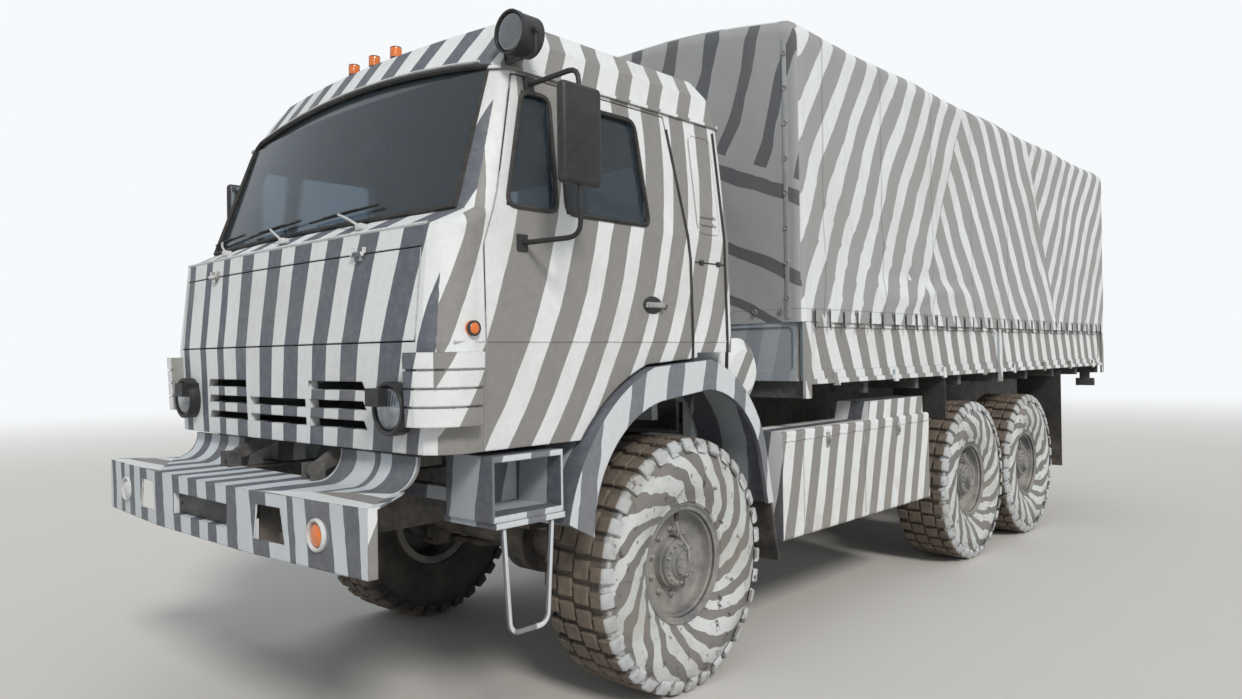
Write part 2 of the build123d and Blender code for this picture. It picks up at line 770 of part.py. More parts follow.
def place_side_equipment():
    y0, y1 = side_box_front_y, side_box_rear_y
    outer = body_half_width - 40
    box_inner, tank_inner = body_half_width - side_box_depth, body_half_width - tank_depth
    low, high = rail_bottom - 290, rail_top + 70
    case = block(box_inner, outer, y0, y1, low, high)
    case = fillet(case.edges().filter_by(Axis.Y).group_by(Axis.X)[-1], 18)
    rack = block(box_inner + 20, outer - 20, y1 - 900, y1 - 60, high, high + 120)
    tank = block(tank_inner, outer - 10, y0, y1 - 420, low, high - 20)
    tank = fillet(tank.edges().filter_by(Axis.Y), 70)
    put("side_boxes", case, rack, other_side(tank))
    drum_radius, lid_radius = 185.0, 120.0
    drum_y, drum_z = cab_rear_y + 220, rail_top + 420
    drum_inner, drum_outer = body_half_width - 550, body_half_width - 190
    drum = rod_x(drum_radius, drum_inner, drum_outer, drum_y, drum_z)
    lid = Cone(drum_radius, lid_radius, 50, align=(Align.CENTER, Align.CENTER, Align.MIN))
    drum += Pos(drum_outer, drum_y, drum_z) * Rot(0, 90, 0) * lid
    drum += block(drum_inner + 20, drum_inner + 80, drum_y - 60, drum_y + 60, rail_top, drum_z - 160)
    drum += block(rail_outer - 60, drum_inner + 80, drum_y - 60, drum_y + 60, rail_top, rail_top + 40)
    put("air_cleaner", drum)
    pipe_x = -rail_outer - 20
    body_x, body_z, body_radius = -rail_outer - 125, rail_bottom - 80, 120.0
    pipe_z, turn_y = axle_height + 35, front_axle_y + 150
    muffler = rod_y(body_radius, y0 + 120, y0 + 1020, body_x, body_z)
    for y in (y0 + 340, y0 + 890):
        muffler += block(-rail_outer, body_x, y - 25, y + 25, body_z + 60, rail_bottom + 90)
    muffler += bent_bar(35, [
        (pipe_x, y0 + 130, pipe_z),
        (pipe_x, turn_y, pipe_z),
        (-240, turn_y, pipe_z),
        (-240, turn_y, axle_height + 225),
    ], 60)
    put("muffler", muffler)


# Cab shell

# Height, then half width from the cab's, corner in from the side, then the front, corner and side
# lines back from the cab's front, and the rear line ahead of the cab's rear
cab_levels = (
    (cab_bottom, -10, 90, 20, 40, 225, 0),
    (flap_bottom_z, 10, 95, 0, 25, 220, 0),
    (cowl_z, 0, 95, 30, 70, 245, 0),
    (cowl_z + 70, 0, 110, 150, 210, 320, 0),
    (roof_joint_z + 12, -75, 105, 340, 415, 530, 5),
    (roof_joint_z + 155, -105, 125, 430, 500, 605, 20),
    (roof_joint_z + 265, -190, 135, 500, 565, 670, 60),
    (roof_joint_z + 315, -360, 140, 680, 730, 820, 170),
)
# How far an inset form's roof levels drop, as shares of the inset
roof_drop = (0.45, 0.8, 1.0)


def cab_section(level, inset, drop=0.0):
    """Plan outline of the cab at one height, moved inwards by inset and down by drop."""
    z, wider, corner_in, front_back, corner_back, side_back, rear_ahead = level
    half = cab_half_width + wider - inset
    corner_x = cab_half_width + wider - corner_in - inset * 0.55
    rear = cab_rear_y - rear_ahead - inset
    front, corner_y = cab_front_y + front_back + inset, cab_front_y + corner_back + inset
    side_y = cab_front_y + side_back + inset * 0.3
    bulge = 0.18
    mid_x = (half + corner_x) / 2 + (side_y - corner_y) * bulge
    mid_y = (side_y + corner_y) / 2 - (half - corner_x) * bulge
    back = 60.0
    soft = back * (1 - cos(radians(45)))
    face = outline(
        (-corner_x, corner_y),
        ((0, front), (corner_x, corner_y)),
        ((mid_x, mid_y), (half, side_y)),
        (half, rear - back),
        ((half - soft, rear - soft), (half - back, rear)),
        (-half + back, rear),
        ((-half + soft, rear - soft), (-half, rear - back)),
        (-half, side_y),
        ((-mid_x, mid_y), (-corner_x, corner_y)),
    )
    return Pos(0, 0, z - drop) * face


def cab_solid(inset):
    """The cab's form moved inwards by inset. The inset forms run past the open bottom."""
    sections = []
    for index, level in enumerate(cab_levels):
        drop = 0.0
        if inset and index == 0:
            drop = 12.0
        if inset and index >= len(cab_levels) - len(roof_drop):
            drop = inset * roof_drop[index - len(cab_levels)]
        sections.append(cab_section(level, inset, drop))
    return loft(sections, ruled=True)


def door_outline(shrink):
    """Side shape of the door opening, or of the door when shrunk by the gap."""
    low, high = cab_bottom - 5, roof_joint_z - 13
    y0, y1 = door_front_y, door_rear_y
    face = outline(
        (y0 + shrink, low + shrink),
        (y0 + shrink, belt_z - 125),
        (y0 + 80 + shrink, belt_z + 95),
        (y0 + 220 + shrink, high - shrink),
        (y1 - 110 - shrink, high - shrink),
        (y1 - shrink, belt_z - 45),
        (y1 - shrink, low + shrink),
    )
    return face - fender_outline(fender_gap)


def window_outlines():
    """Side shapes of the door's two windows: main, then quarter light."""
    low, high = belt_z + 42, roof_joint_z - 80
    split = door_front_y + 440
    back = door_rear_y - 340
    main = outline((split + 20, low), (split + 40, high), (back, high), (back + 35, low))
    quarter = outline((door_front_y + 125, low), (door_front_y + 265, high), (split - 20, high), (split - 35, low))
    return main, quarter


def windscreen_outline():
    low, high, crown = cowl_z + 80, roof_joint_z + 22, 80.0
    wide, narrow = cab_half_width - 110, cab_half_width - 155
    return outline((-wide, low), ((0, low - 8), (wide, low)), (narrow, high), ((0, high + crown), (-narrow, high)))


def grille_slots():
    """Slots in three rows: the side blocks have three, the centre block two."""
    centre_half, side_inner, side_outer, lean = 265.0, 300.0, 740.0, 20.0
    slot_height, pitch, first = 36.0, 80.0, 80.0
    slots = []
    for index in range(3):
        low = cab_bottom + first + pitch * index
        high = low + slot_height
        for sign in (-1, 1):
            slots.append(outline((sign * side_inner, low), (sign * side_outer, low),
                                 (sign * (side_outer - lean), high), (sign * side_inner, high)))
        if index < 2:
            slots.append(outline((-centre_half, low), (centre_half, low), (centre_half, high), (-centre_half, high)))
    return slots


def place_cab():
    outer, inner = cab_solid(0), cab_solid(cab_wall)
    shell = outer - inner
    split_y = cab_front_y + 910
    window_y = cab_front_y + 610
    wall_y = cab_rear_y - cab_wall - 20
    top = roof_joint_z + 400
    arch = along_x(fender_outline(fender_gap), -far, far)
    arch += block(-far, far, front_axle_y + 100, cab_rear_y + 50, axle_height - 125, platform_z)
    walls = shell - along_x(door_outline(0), -far, far) - arch
    drip_start_x = cab_half_width - 140
    front = walls & block(-far, far, front_y, split_y, cab_bottom - 50, belt_z)
    front -= block(-flap_half_width, flap_half_width, front_y, split_y - 300, flap_bottom_z, flap_top_z)
    for face in grille_slots():
        front -= along_y(face, front_y, cab_front_y + 130)
    frame_band = walls & block(-far, far, front_y, split_y, belt_z, roof_joint_z)
    frame_band -= along_y(windscreen_outline(), front_y, window_y)
    put("cab_front", front, frame_band, *corner_panels())
    glass = cab_solid(glass_depth) - cab_solid(glass_depth + glass_thickness)
    glass_front = glass & along_y(windscreen_outline(), front_y, window_y)
    rear = walls & block(-far, far, split_y, rear_y, cab_bottom - 50, roof_joint_z)
    put("cab_quarters", *both_sides(rear & block(0, far, split_y, wall_y, 0, top)))
    back = rear & block(-far, far, wall_y, rear_y, 0, top)
    pane_inner, pane_outer = 120.0, cab_half_width - 380
    pane_low, pane_high = belt_z + 105, roof_joint_z - 88
    panes = []
    for sign in (-1, 1):
        back -= block(sign * pane_inner, sign * pane_outer, wall_y - 50, rear_y, pane_low, pane_high)
        panes.append(block(sign * pane_inner, sign * pane_outer, cab_rear_y - 30, cab_rear_y - 30 + glass_thickness,
                           pane_low, pane_high))
    put("cab_rear_wall", back)
    put("cab_glass", glass_front, *panes)
    roof = walls & block(-far, far, front_y, rear_y, roof_joint_z, top)
    roof -= along_y(windscreen_outline(), front_y, window_y)
    drip_rail = (cab_solid(-drip_rail_depth) - outer) & block(-far, far, front_y, rear_y, roof_joint_z + 2, roof_joint_z + 20)
    drip_rail -= block(drip_start_x, -drip_start_x, front_y, window_y, 0, top)
    put("cab_roof", roof, drip_rail)
    place_doors(shell, glass)
    place_flap(outer)
    place_cab_floor(cab_solid(cab_wall + floor_gap), arch)


def corner_panels():
    """Ribbed panels that wrap the cab's lower front corners, with three grooves each."""
    low, high = cab_bottom + 110, cab_bottom + 390
    inner = cab_half_width - 120
    groove_height, groove_depth = 8.0, 12.0
    region = block(inner, far, front_y, cab_front_y + 210, low, high)
    panel = (cab_solid(-corner_panel_depth) - cab_solid(0)) & region
    face_layer = cab_solid(-corner_panel_depth) - cab_solid(groove_depth - corner_panel_depth)
    for share in (0.25, 0.5, 0.75):
        z = low + (high - low) * share
        panel -= face_layer & block(inner - 10, far, front_y, cab_front_y + 260, z, z + groove_height)
    return both_sides(panel)


def place_doors(shell, glass):
    """Left and right doors cut from the cab's own wall, with their panes and mirrors."""
    outer = cab_half_width
    main, quarter = window_outlines()
    door = shell & along_x(door_outline(panel_gap), outer / 2, far)
    for face in (main, quarter):
        door -= along_x(face, outer / 2, far)
    handle_z = flap_top_z - 210
    handle = block(outer + 5, outer + 32, door_rear_y - 360, door_rear_y - 240, handle_z, handle_z + 25)
    put("door_left", door, handle)
    put("door_right", other_side(door), other_side(handle))
    panes = [glass & along_x(face, outer / 2, far) for face in (main, quarter)]
    put("door_glass_left", *panes)
    put("door_glass_right", *[other_side(pane) for pane in panes])
    tube_radius, reach = 11.0, 250.0
    tube_y = door_front_y + 290
    low, high = belt_z - 95, roof_joint_z - 48
    arm = bent_bar(tube_radius, [
        (outer - 10, tube_y - 90, low - 10),
        (outer + reach, tube_y, low),
        (outer + reach, tube_y, high),
        (outer - 80, tube_y + 20, high),
    ], 45)
    arm -= cab_solid(0)
    casing = block(outer + reach - 25, outer + reach + 25, tube_y - 110, tube_y + 110, belt_z + 105, belt_z + 505)
    casing -= rod_z(tube_radius, low, high, outer + reach, tube_y)
    put("mirror_left", arm, casing)
    put("mirror_right", other_side(arm), other_side(casing))


def place_flap(outer):
    """Service panel under the windscreen, hung on two barrel hinges at its top edge."""
    skin = outer - cab_solid(flap_thickness)
    gap = panel_gap
    flap = skin & block(-flap_half_width + gap, flap_half_width - gap, front_y, cab_front_y + 510,
                        flap_bottom_z + gap, flap_top_z - gap)
    barrel, pin, knuckle, hinge_x = 10.0, 5.0, 20.0, flap_half_width - 400
    room, leaf_depth, leaf_height, leaf_start = 4.0, 26.0, 28.0, 2.0
    y, z = flap_hinge_y, flap_hinge_z
    front = nodes["cab_front"]
    for centre in (-hinge_x, hinge_x):
        fixed, moving, fixed_cut, moving_cut = barrel_hinge(centre, knuckle, barrel, pin, room, y, z)
        leaf = block(centre - knuckle + 1, centre + knuckle - 1, y, y + leaf_depth, z - leaf_height, z - leaf_start)
        flap = flap + leaf + moving - moving_cut
        for x0, x1 in ((centre - 2 * knuckle, centre - knuckle), (centre + knuckle, centre + 2 * knuckle)):
            fixed.append(block(x0, x1, y, y + leaf_depth, z + leaf_start, z + leaf_height))
        front = front - fixed_cut + fixed
    nodes["cab_front"] = front
    put("front_panel", flap)


def place_cab_floor(inner, arch):
    """Stepped floor over the engine, the cover that closes it in the cab, the tilt lugs and the cab's stands."""
    y = front_axle_y
    low_top, high_top = cab_bottom + floor_thickness, platform_z + floor_thickness
    tunnel_top = platform_z - 45
    shape = outline(
        (cab_front_y - 90, cab_bottom),
        (y - 700, cab_bottom),
        (y - 330, platform_z - 50),
        (y + 160, platform_z),
        (cab_rear_y + 70, platform_z),
        (cab_rear_y + 70, high_top),
        (y - 400, high_top),
        (y - 830, low_top),
        (cab_front_y - 90, low_top),
    )
    half = tunnel_half_width
    floor = (along_x(shape, -far, far) & inner) - arch
    floor -= block(-half, half, y - 840, y + 60, cab_bottom - 10, tunnel_top)
    cover = block(-half - 30, half + 30, y - 870, y - 100, cab_bottom, platform_z)
    cover -= block(-half, half, y - 840, y - 50, cab_bottom - 10, tunnel_top)
    under = along_x(outline(
        (y - 900, low_top),
        (y - 830, low_top),
        (y - 400, high_top),
        (y, high_top),
        (y, cab_bottom - 20),
        (y - 900, cab_bottom - 20),
    ), -far, far)
    floor += (cover & under) - arch
    put("engine_cover", cover - under)
    lug = outline(
        (tilt_y - 30, tilt_z - 4),
        ((tilt_y, tilt_z - 34), (tilt_y + 30, tilt_z - 12)),
        (tilt_y + 330, cab_bottom),
        (tilt_y + 120, cab_bottom),
        (tilt_y + 12, tilt_z + 34),
        (tilt_y - 22, tilt_z + 22),
    )
    lug_inner, lug_outer, side_gap, cheek = rail_outer - 60, rail_outer - 20, 5.0, 20.0
    ear = along_x(lug, lug_inner, lug_outer)
    ear -= rod_x(tilt_pin_radius + running_clearance, lug_inner - 20, lug_outer + 20, tilt_y, tilt_z)
    put("cab_floor", floor, *both_sides(ear))
    base = rail_top + bumper_plate
    stand = []
    for x0 in (lug_inner - side_gap - cheek, lug_outer + side_gap):
        stand.append(block(x0, x0 + cheek, tilt_y - 35, tilt_y + 28, base, tilt_z + 30))
    stand.append(rod_x(tilt_pin_radius, lug_inner - side_gap - cheek, lug_outer + side_gap + cheek, tilt_y, tilt_z))
    rest_y0, rest_y1, rest_top = cab_rear_y - 120, cab_rear_y - 40, platform_z - 6
    foot_inner, foot_outer = rail_outer - 75, rail_outer - 15
    support = block(-foot_outer, foot_outer, rest_y0, rest_y1, rest_top - 40, rest_top)
    support += both_sides(block(foot_inner, foot_outer, rest_y0, rest_y1, rail_top, rest_top))
    back_y = between_y + tyre_width / 2 + 4
    carrier_x0, carrier_x1 = spare_x - 320, rail_outer - 60
    carrier = block(carrier_x0, carrier_x1, back_y, back_y + 30, rail_top, rail_top + 520)
    carrier += block(carrier_x0, carrier_x1, between_y - 60, back_y + 30, rail_top, rail_top + spare_rise)
    put("cab_mounts", *both_sides(*stand), support, carrier)


def place_cab_inside():
    """Seats, dashboard and steering wheel."""
    y = front_axle_y
    floor = platform_z + floor_thickness
    low, high = belt_z - 275, belt_z - 35
    dash = along_x(outline(
        (cab_front_y, low), (cab_front_y, high), (cab_front_y + 390, high),
        (cab_front_y + 480, high - 110), (cab_front_y + 450, low)), -far, far)
    dash = dash & cab_solid(cab_wall + 1)
    cushion, back_height, back_thickness = 160.0, 680.0, 110.0
    seat_half_depth = 290.0
    seats = []
    # Inner and outer side of the driver's seat and of the passengers' bench
    for x0, x1 in ((380, 920), (-920, -20)):
        seats.append(block(x0, x1, y - 520, y - 520 + 2 * seat_half_depth, floor, floor + cushion))
        seats.append(along_x(outline(
            (y + 60, floor),
            (y + 150, floor + back_height),
            (y + 150 + back_thickness, floor + back_height),
            (y + 190, floor),
        ), x0, x1))
    put("seats", *seats)
    hub_x, hub_y, hub_z = 650.0, cab_front_y + 680, belt_z - 45
    ring_radius, grip = 230.0, 16.0
    tilt = Pos(hub_x, hub_y, hub_z) * Rot(-35, 0, 0)
    ring = revolve(Plane.XZ * Pos(ring_radius, 0) * RegularPolygon(grip, 6), Axis.Z)
    wheel = tilt * ring + tilt * Box(2 * ring_radius, 30, grip)
    wheel += rod_between(24, (hub_x, hub_y, hub_z), (hub_x, cab_front_y + 464, high - 200))
    put("dashboard", dash, wheel)


def place_cab_lamps():
    """Headlamps with their hoods, corner indicators, three roof lamps and the searchlight."""
    skin = cab_solid(0)
    lamp_x, lamp_z = cab_half_width - 240, cab_bottom + 175
    lamp_y = cab_front_y - 25
    ring = rod_y(lamp_radius, lamp_y, lamp_y + 110, lamp_x, lamp_z)
    ring -= rod_y(lamp_radius - 18, lamp_y - 10, lamp_y + 28, lamp_x, lamp_z)
    hood = block(lamp_x - 90, lamp_x, lamp_y - 40, lamp_y + 60, lamp_z + 10, lamp_z + 80)
    indicator = rod_x(30, cab_half_width - 60, cab_half_width + 32, cab_front_y + 190, flap_bottom_z + 50)
    lamps = [*both_sides(ring + hood, indicator)]
    roof_z, roof_y = roof_joint_z + 250, cab_front_y + 550
    lamps += [rod_z(28, roof_z, roof_z + 85, x, roof_y) for x in (-190, 0, 190)]
    light_x, light_y, light_z = cab_half_width - 10, cab_front_y + 480, roof_joint_z + 125
    light = rod_y(85, light_y - 55, light_y + 55, light_x, light_z)
    light += rod_between(14, (light_x, light_y, light_z - 40), (light_x - 220, light_y + 160, light_z - 40))
    lamps.append(light)
    put("cab_lamps", *[lamp - skin for lamp in lamps])


# Cargo body

def canvas_outline(inset, extra_low=0.0):
    """Cross section of the canvas, (x, z), open side down."""
    half = body_half_width - inset
    corner = canvas_corner_z - inset
    top = canvas_top_z - inset
    r = canvas_corner_radius - inset
    soft = r * (1 - cos(radians(45)))
    low = hem_z - extra_low
    return outline(
        (-half, low),
        (-half, corner - r),
        ((-half + soft, corner - soft), (-half + r, corner)),
        ((0, top), (half - r, corner)),
        ((half - soft, corner - soft), (half, corner - r)),
        (half, low),
    )


def place_canopy():
    outer = along_y(canvas_outline(0), body_front_y, rear_y)
    hollow = along_y(canvas_outline(canvas_thickness, 20), body_front_y + canvas_thickness, rear_y + 10)
    put("canopy", outer - hollow)
    start, end = body_front_y + 60, rear_y - 80
    under = canvas_thickness + 1
    bows = []
    for y in spread(start, end, bow_count):
        ring = along_y(canvas_outline(under, 20), y - bow_size / 2, y + bow_size / 2)
        ring -= along_y(canvas_outline(under + bow_size, 40), y - bow_size, y + bow_size)
        bows.append(ring & block(-far, far, y - bow_size, y + bow_size, board_top_z, canvas_top_z))
    for x in (-600, 0, 600):
        z = canvas_top_z - under - bow_size - 14 - canvas_crown * (x / body_half_width) ** 2
        bows.append(block(x - 15, x + 15, start, end, z, z + 34))
    put("canopy_bows", *bows)


def place_body():
    """Subframe, floor, headboard and side boards with stamped panels, and the corner and middle posts."""
    y0, y1 = load_front_y, load_rear_y
    sill = block(rail_outer - 70, rail_outer, y0, y1, rail_top, bearer_z)
    bearers = []
    for y in spread(y0 + 40, y1 - 40, bearer_count):
        bearers.append(block(-floor_half_width, floor_half_width, y - 30, y + 30, bearer_z, floor_z))
    put("body_subframe", *both_sides(sill), *bearers)
    put("cargo_floor", block(-floor_half_width, floor_half_width, y0, y1, floor_z, floor_top))
    stamp_margin = 60.0
    stamp_low, stamp_high = floor_z + stamp_margin, floor_z + 320
    stamp_mid, stamp_height = (stamp_low + stamp_high) / 2, stamp_high - stamp_low
    headboard = block(-floor_half_width, floor_half_width, y0 - headboard_thickness, y0, floor_z, board_top_z)
    panel_width = floor_half_width * 2 / 3 - stamp_margin
    for index in (-1, 0, 1):
        stamp = Pos(index * floor_half_width * 2 / 3, stamp_mid) * RectangleRounded(panel_width, stamp_height, stamp_corner)
        headboard -= along_y(stamp, y0 - headboard_thickness - 10, y0 - headboard_thickness + stamp_depth)
    outer = floor_half_width + board_thickness
    board = block(floor_half_width, outer, y0, y1, floor_z, board_top_z)
    front_post_y, rear_post_y = body_front_y + 20 + post_width / 2, rear_y - 75
    post_places = spread(front_post_y, rear_post_y, 3)
    for before, after in zip(post_places, post_places[1:]):
        middle, length = (before + after) / 2, after - before - post_width - 2 * stamp_margin
        board -= along_x(Pos(middle, stamp_mid) * RectangleRounded(length, stamp_height, stamp_corner), outer - stamp_depth, outer + 10)
    put("cargo_sides", headboard, *both_sides(board))
    post_outer, post_low, post_high = body_half_width - 1, bearer_z, hem_z - 5
    pieces = []
    for y in post_places:
        pieces.append(block(outer, post_outer, y - post_width / 2, y + post_width / 2, post_low, post_high))
    rail_y0, rail_y1 = front_post_y + 15, rear_post_y - 15
    pieces.append(block(outer, body_half_width - 4, rail_y0, rail_y1, floor_z - 20, floor_z + 10))
    hinge_places = 4
    for before, after in zip(post_places, post_places[1:]):
        for y in spread(before + 350, after - 350, hinge_places):
            pieces.append(block(outer, body_half_width - 2, y - 30, y + 30, floor_z - 35, floor_z + 45))
    put("body_posts", *both_sides(*pieces))


def place_tailgate():
    """Drop gate with two stamped panels on three barrel hinges, and the sill brackets that carry it."""
    half = floor_half_width - 10
    y0, y1 = gate_outer_y - tailgate_thickness, gate_outer_y
    gate = block(-half, half, y0, y1, gate_bottom_z, board_top_z)
    stamp_height = board_top_z - gate_bottom_z - 160
    for sign in (-1, 1):
        stamp = Pos(sign * half / 2, gate_bottom_z + 80 + stamp_height / 2) * RectangleRounded(half - 120, stamp_height, stamp_corner)
        gate -= along_y(stamp, y1 - stamp_depth, y1 + 10)
    y, z = gate_hinge_y, gate_hinge_z
    knuckle, room = 30.0, 6.0
    low = z - hinge_radius
    brackets = []
    for centre in (-half * 0.75, 0, half * 0.75):
        fixed, moving, _, moving_cut = barrel_hinge(centre, knuckle, hinge_radius, hinge_pin_radius, room, y, z)
        leaf = block(centre - knuckle + 1, centre + knuckle - 1, y - 16, y - 2, z, z + 30)
        gate = gate + leaf + moving - moving_cut
        brackets += fixed
        for x0, x1 in ((centre - 2 * knuckle, centre - knuckle), (centre + knuckle, centre + 2 * knuckle)):
            brackets.append(block(x0, x1, load_rear_y - 30, y, low, floor_z - 1))
    put("tailgate", gate)
    return brackets


def place_rear():
    """Gate hinge brackets, mud flaps, tow couplings and rear lamps."""
    nodes["body_subframe"] = nodes["body_subframe"] + place_tailgate()
    flap_inner, flap_outer, flap_thickness = wheel_x - tyre_width / 2 + 17, body_half_width - 10, 12.0
    neck_x, neck_z = floor_half_width - 5, floor_z - 40
    flaps = []
    # Place and lower edge: behind the rear wheel, ahead of the middle wheel
    for y, low in ((rear_axle_y + 870, axle_height - 110), (middle_axle_y - tyre_radius + 15, rail_top + 10)):
        face = outline(
            (flap_inner, low),
            (flap_outer, low),
            (flap_outer, neck_z),
            (neck_x, neck_z),
            (neck_x, floor_z),
            (flap_inner, floor_z),
        )
        flaps.append(along_y(face, y, y + flap_thickness) - nodes["body_subframe"])
    put("mudflaps", *both_sides(*flaps), *place_fenders())
    hitch_y, hitch_z = rail_rear_end, rail_bottom + 130
    hitch = block(-120, 120, hitch_y, hitch_y + 30, hitch_z - 80, hitch_z + 80)
    hitch += rod_y(55, hitch_y + 30, hitch_y + 110, 0, hitch_z)
    jaw_end, jaw_gap = hitch_y + 250, 25.0
    jaw = block(-60, 60, hitch_y + 110, jaw_end, hitch_z - 60, hitch_z + 60)
    jaw -= block(-70, 70, hitch_y + 150, jaw_end + 20, hitch_z - jaw_gap, hitch_z + jaw_gap)
    jaw -= rod_z(hitch_hole_radius, hitch_z - 110, hitch_z + 90, 0, hitch_y + 205)
    put("tow_couplings", hitch + jaw, *tow_forks())
    lamp_y = load_rear_y - 100
    lamp_inner, lamp_outer = floor_half_width - 195, floor_half_width - 15
    lamp = block(lamp_inner, lamp_outer, lamp_y - 25, lamp_y + 25, floor_z - 240, floor_z - 160)
    lamp += block(lamp_inner + 40, lamp_outer - 40, lamp_y - 25, lamp_y - 5, floor_z - 160, floor_z)
    put("rear_lamps", *both_sides(lamp))


place_wheels()
place_axles()
place_steering()
place_suspension()
place_frame()
place_driveline()
place_bumper()
place_steps()
place_side_equipment()
place_cab()
place_cab_inside()
place_cab_lamps()
place_canopy()
place_body()
place_rear()

for name, shape in nodes.items():
    export_step(shape if isinstance(shape, Compound) else Compound(children=[shape]), f"parts/{name}.step")
    print(name, len(shape.solids()))
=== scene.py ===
import bpy
import math
from mathutils import Matrix, Vector, noise


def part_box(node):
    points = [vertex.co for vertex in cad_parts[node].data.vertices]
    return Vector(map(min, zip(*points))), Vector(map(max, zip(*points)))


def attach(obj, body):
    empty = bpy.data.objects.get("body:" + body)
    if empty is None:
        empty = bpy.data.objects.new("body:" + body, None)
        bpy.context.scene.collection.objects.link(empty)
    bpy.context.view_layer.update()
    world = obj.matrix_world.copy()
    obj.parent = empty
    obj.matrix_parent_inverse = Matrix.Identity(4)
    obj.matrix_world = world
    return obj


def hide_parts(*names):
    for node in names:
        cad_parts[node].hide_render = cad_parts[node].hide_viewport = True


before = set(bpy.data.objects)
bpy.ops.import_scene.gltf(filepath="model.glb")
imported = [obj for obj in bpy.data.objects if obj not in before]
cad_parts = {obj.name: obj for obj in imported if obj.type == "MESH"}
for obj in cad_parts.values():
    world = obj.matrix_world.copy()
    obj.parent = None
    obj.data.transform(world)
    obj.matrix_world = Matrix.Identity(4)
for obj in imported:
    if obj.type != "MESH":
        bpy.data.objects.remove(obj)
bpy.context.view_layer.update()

# Cargo truck in hand-painted stripes. Metres, +Z up, the truck faces -Y.
# CAD nodes keep their shape and get new materials; what CAD leaves plain is modelled here.

frontAxleY = -2.80
middleAxleY = 0.89
rearAxleY = 2.21
axleHeight = 0.625
wheelX = 1.025


# Working with objects

def clearSelection():
    for item in list(bpy.context.selected_objects):
        item.select_set(False)


def pick(item):
    clearSelection()
    item.select_set(True)
    bpy.context.view_layer.objects.active = item


def settle(item):
    # puts the object's place into its mesh, as the CAD nodes have it
    pick(item)
    bpy.ops.object.transform_apply(location=True, rotation=True, scale=True)


def addBox(name, low, high, bevel=0.0, segments=2):
    clearSelection()
    middle = [(a + b) / 2 for a, b in zip(low, high)]
    bpy.ops.mesh.primitive_cube_add(size=1, location=middle)
    box = bpy.context.object
    box.name = name
    box.scale = [abs(b - a) for a, b in zip(low, high)]
    settle(box)
    if bevel:
        softenEdges(box, bevel, segments)
    return box


def softenEdges(item, width, segments=2, angle=30):
    pick(item)
    edges = item.modifiers.new("edges", "BEVEL")
    edges.width = width
    edges.segments = segments
    edges.limit_method = "ANGLE"
    edges.angle_limit = math.radians(angle)
    bpy.ops.object.modifier_apply(modifier=edges.name)
    smoothByAngle(item)


def smoothByAngle(item, angle=35):
    pick(item)
    bpy.ops.object.shade_smooth_by_angle(angle=math.radians(angle))


def addRound(name, radius, depth, centre, along="X", sides=32, bevel=0.0):
    clearSelection()
    quarter = math.pi / 2
    turn = {"X": (0, quarter, 0), "Y": (quarter, 0, 0), "Z": (0, 0, 0)}[along]
    bpy.ops.mesh.primitive_cylinder_add(vertices=sides, radius=radius, depth=depth, location=centre,
                                        rotation=turn)
    piece = bpy.context.object
    piece.name = name
    settle(piece)
    if bevel:
        softenEdges(piece, bevel)
    smoothByAngle(piece)
    return piece


def addMesh(name, points, edges, faces):
    # a new object from its points, left picked and active
    mesh = bpy.data.meshes.new(name)
    mesh.from_pydata(points, edges, faces)
    piece = bpy.data.objects.new(name, mesh)
    bpy.context.collection.objects.link(piece)
    pick(piece)
    return piece


def faceOut(item, merge=0.0):
    # joins points that lie closer than merge and turns every face outwards
    pick(item)
    bpy.ops.object.mode_set(mode="EDIT")
    bpy.ops.mesh.select_all(action="SELECT")
    if merge:
        bpy.ops.mesh.remove_doubles(threshold=merge)
    bpy.ops.mesh.normals_make_consistent(inside=False)
    bpy.ops.object.mode_set(mode="OBJECT")


def gridFaces(rows, columns):
    # faces with four sides between rows of points
    starts = [row * columns + column for row in range(rows - 1) for column in range(columns - 1)]
    return [(a, a + 1, a + columns + 1, a + columns) for a in starts]


def thicken(sheet, thickness):
    # gives a cloth sheet its thickness, inwards
    pick(sheet)
    wall = sheet.modifiers.new("cloth", "SOLIDIFY")
    wall.thickness = thickness
    wall.offset = -1
    bpy.ops.object.modifier_apply(modifier=wall.name)
    smoothByAngle(sheet, 50)


def latheAround(name, profile, steps, centre=(0, 0, 0)):
    # spins the profile about X; it is (distance along the axis, radius) from one end to the other
    edges = [(i, i + 1) for i in range(len(profile) - 1)]
    piece = addMesh(name, [(a, 0, r) for a, r in profile], edges, [])
    bpy.ops.object.mode_set(mode="EDIT")
    bpy.ops.mesh.select_all(action="SELECT")
    bpy.ops.mesh.spin(steps=steps, angle=2 * math.pi, center=(0, 0, 0), axis=(1, 0, 0))
    bpy.ops.object.mode_set(mode="OBJECT")
    faceOut(piece, 0.0002)
    piece.location = centre
    settle(piece)
    smoothByAngle(piece)
    return piece


def addRod(name, points, radius, corner=0.0, sides=8, closed=False):
    # a bent bar through the points, as a curve with a round bevel made into a mesh
    line = bpy.data.curves.new(name, "CURVE")
    line.dimensions = "3D"
    run = line.splines.new("POLY")
    route = roundCorners(points, corner) if corner else points
    run.points.add(len(route) - 1)
    for point, place in zip(run.points, route):
        point.co = (*place, 1)
    line.bevel_depth = radius
    line.bevel_resolution = max(0, sides // 4 - 1)
    line.use_fill_caps = True
    run.use_cyclic_u = closed
    rod = bpy.data.objects.new(name, line)
    bpy.context.collection.objects.link(rod)
    pick(rod)
    bpy.ops.object.convert(target="MESH")
    rod = bpy.context.object
    smoothByAngle(rod, 50)
    return rod


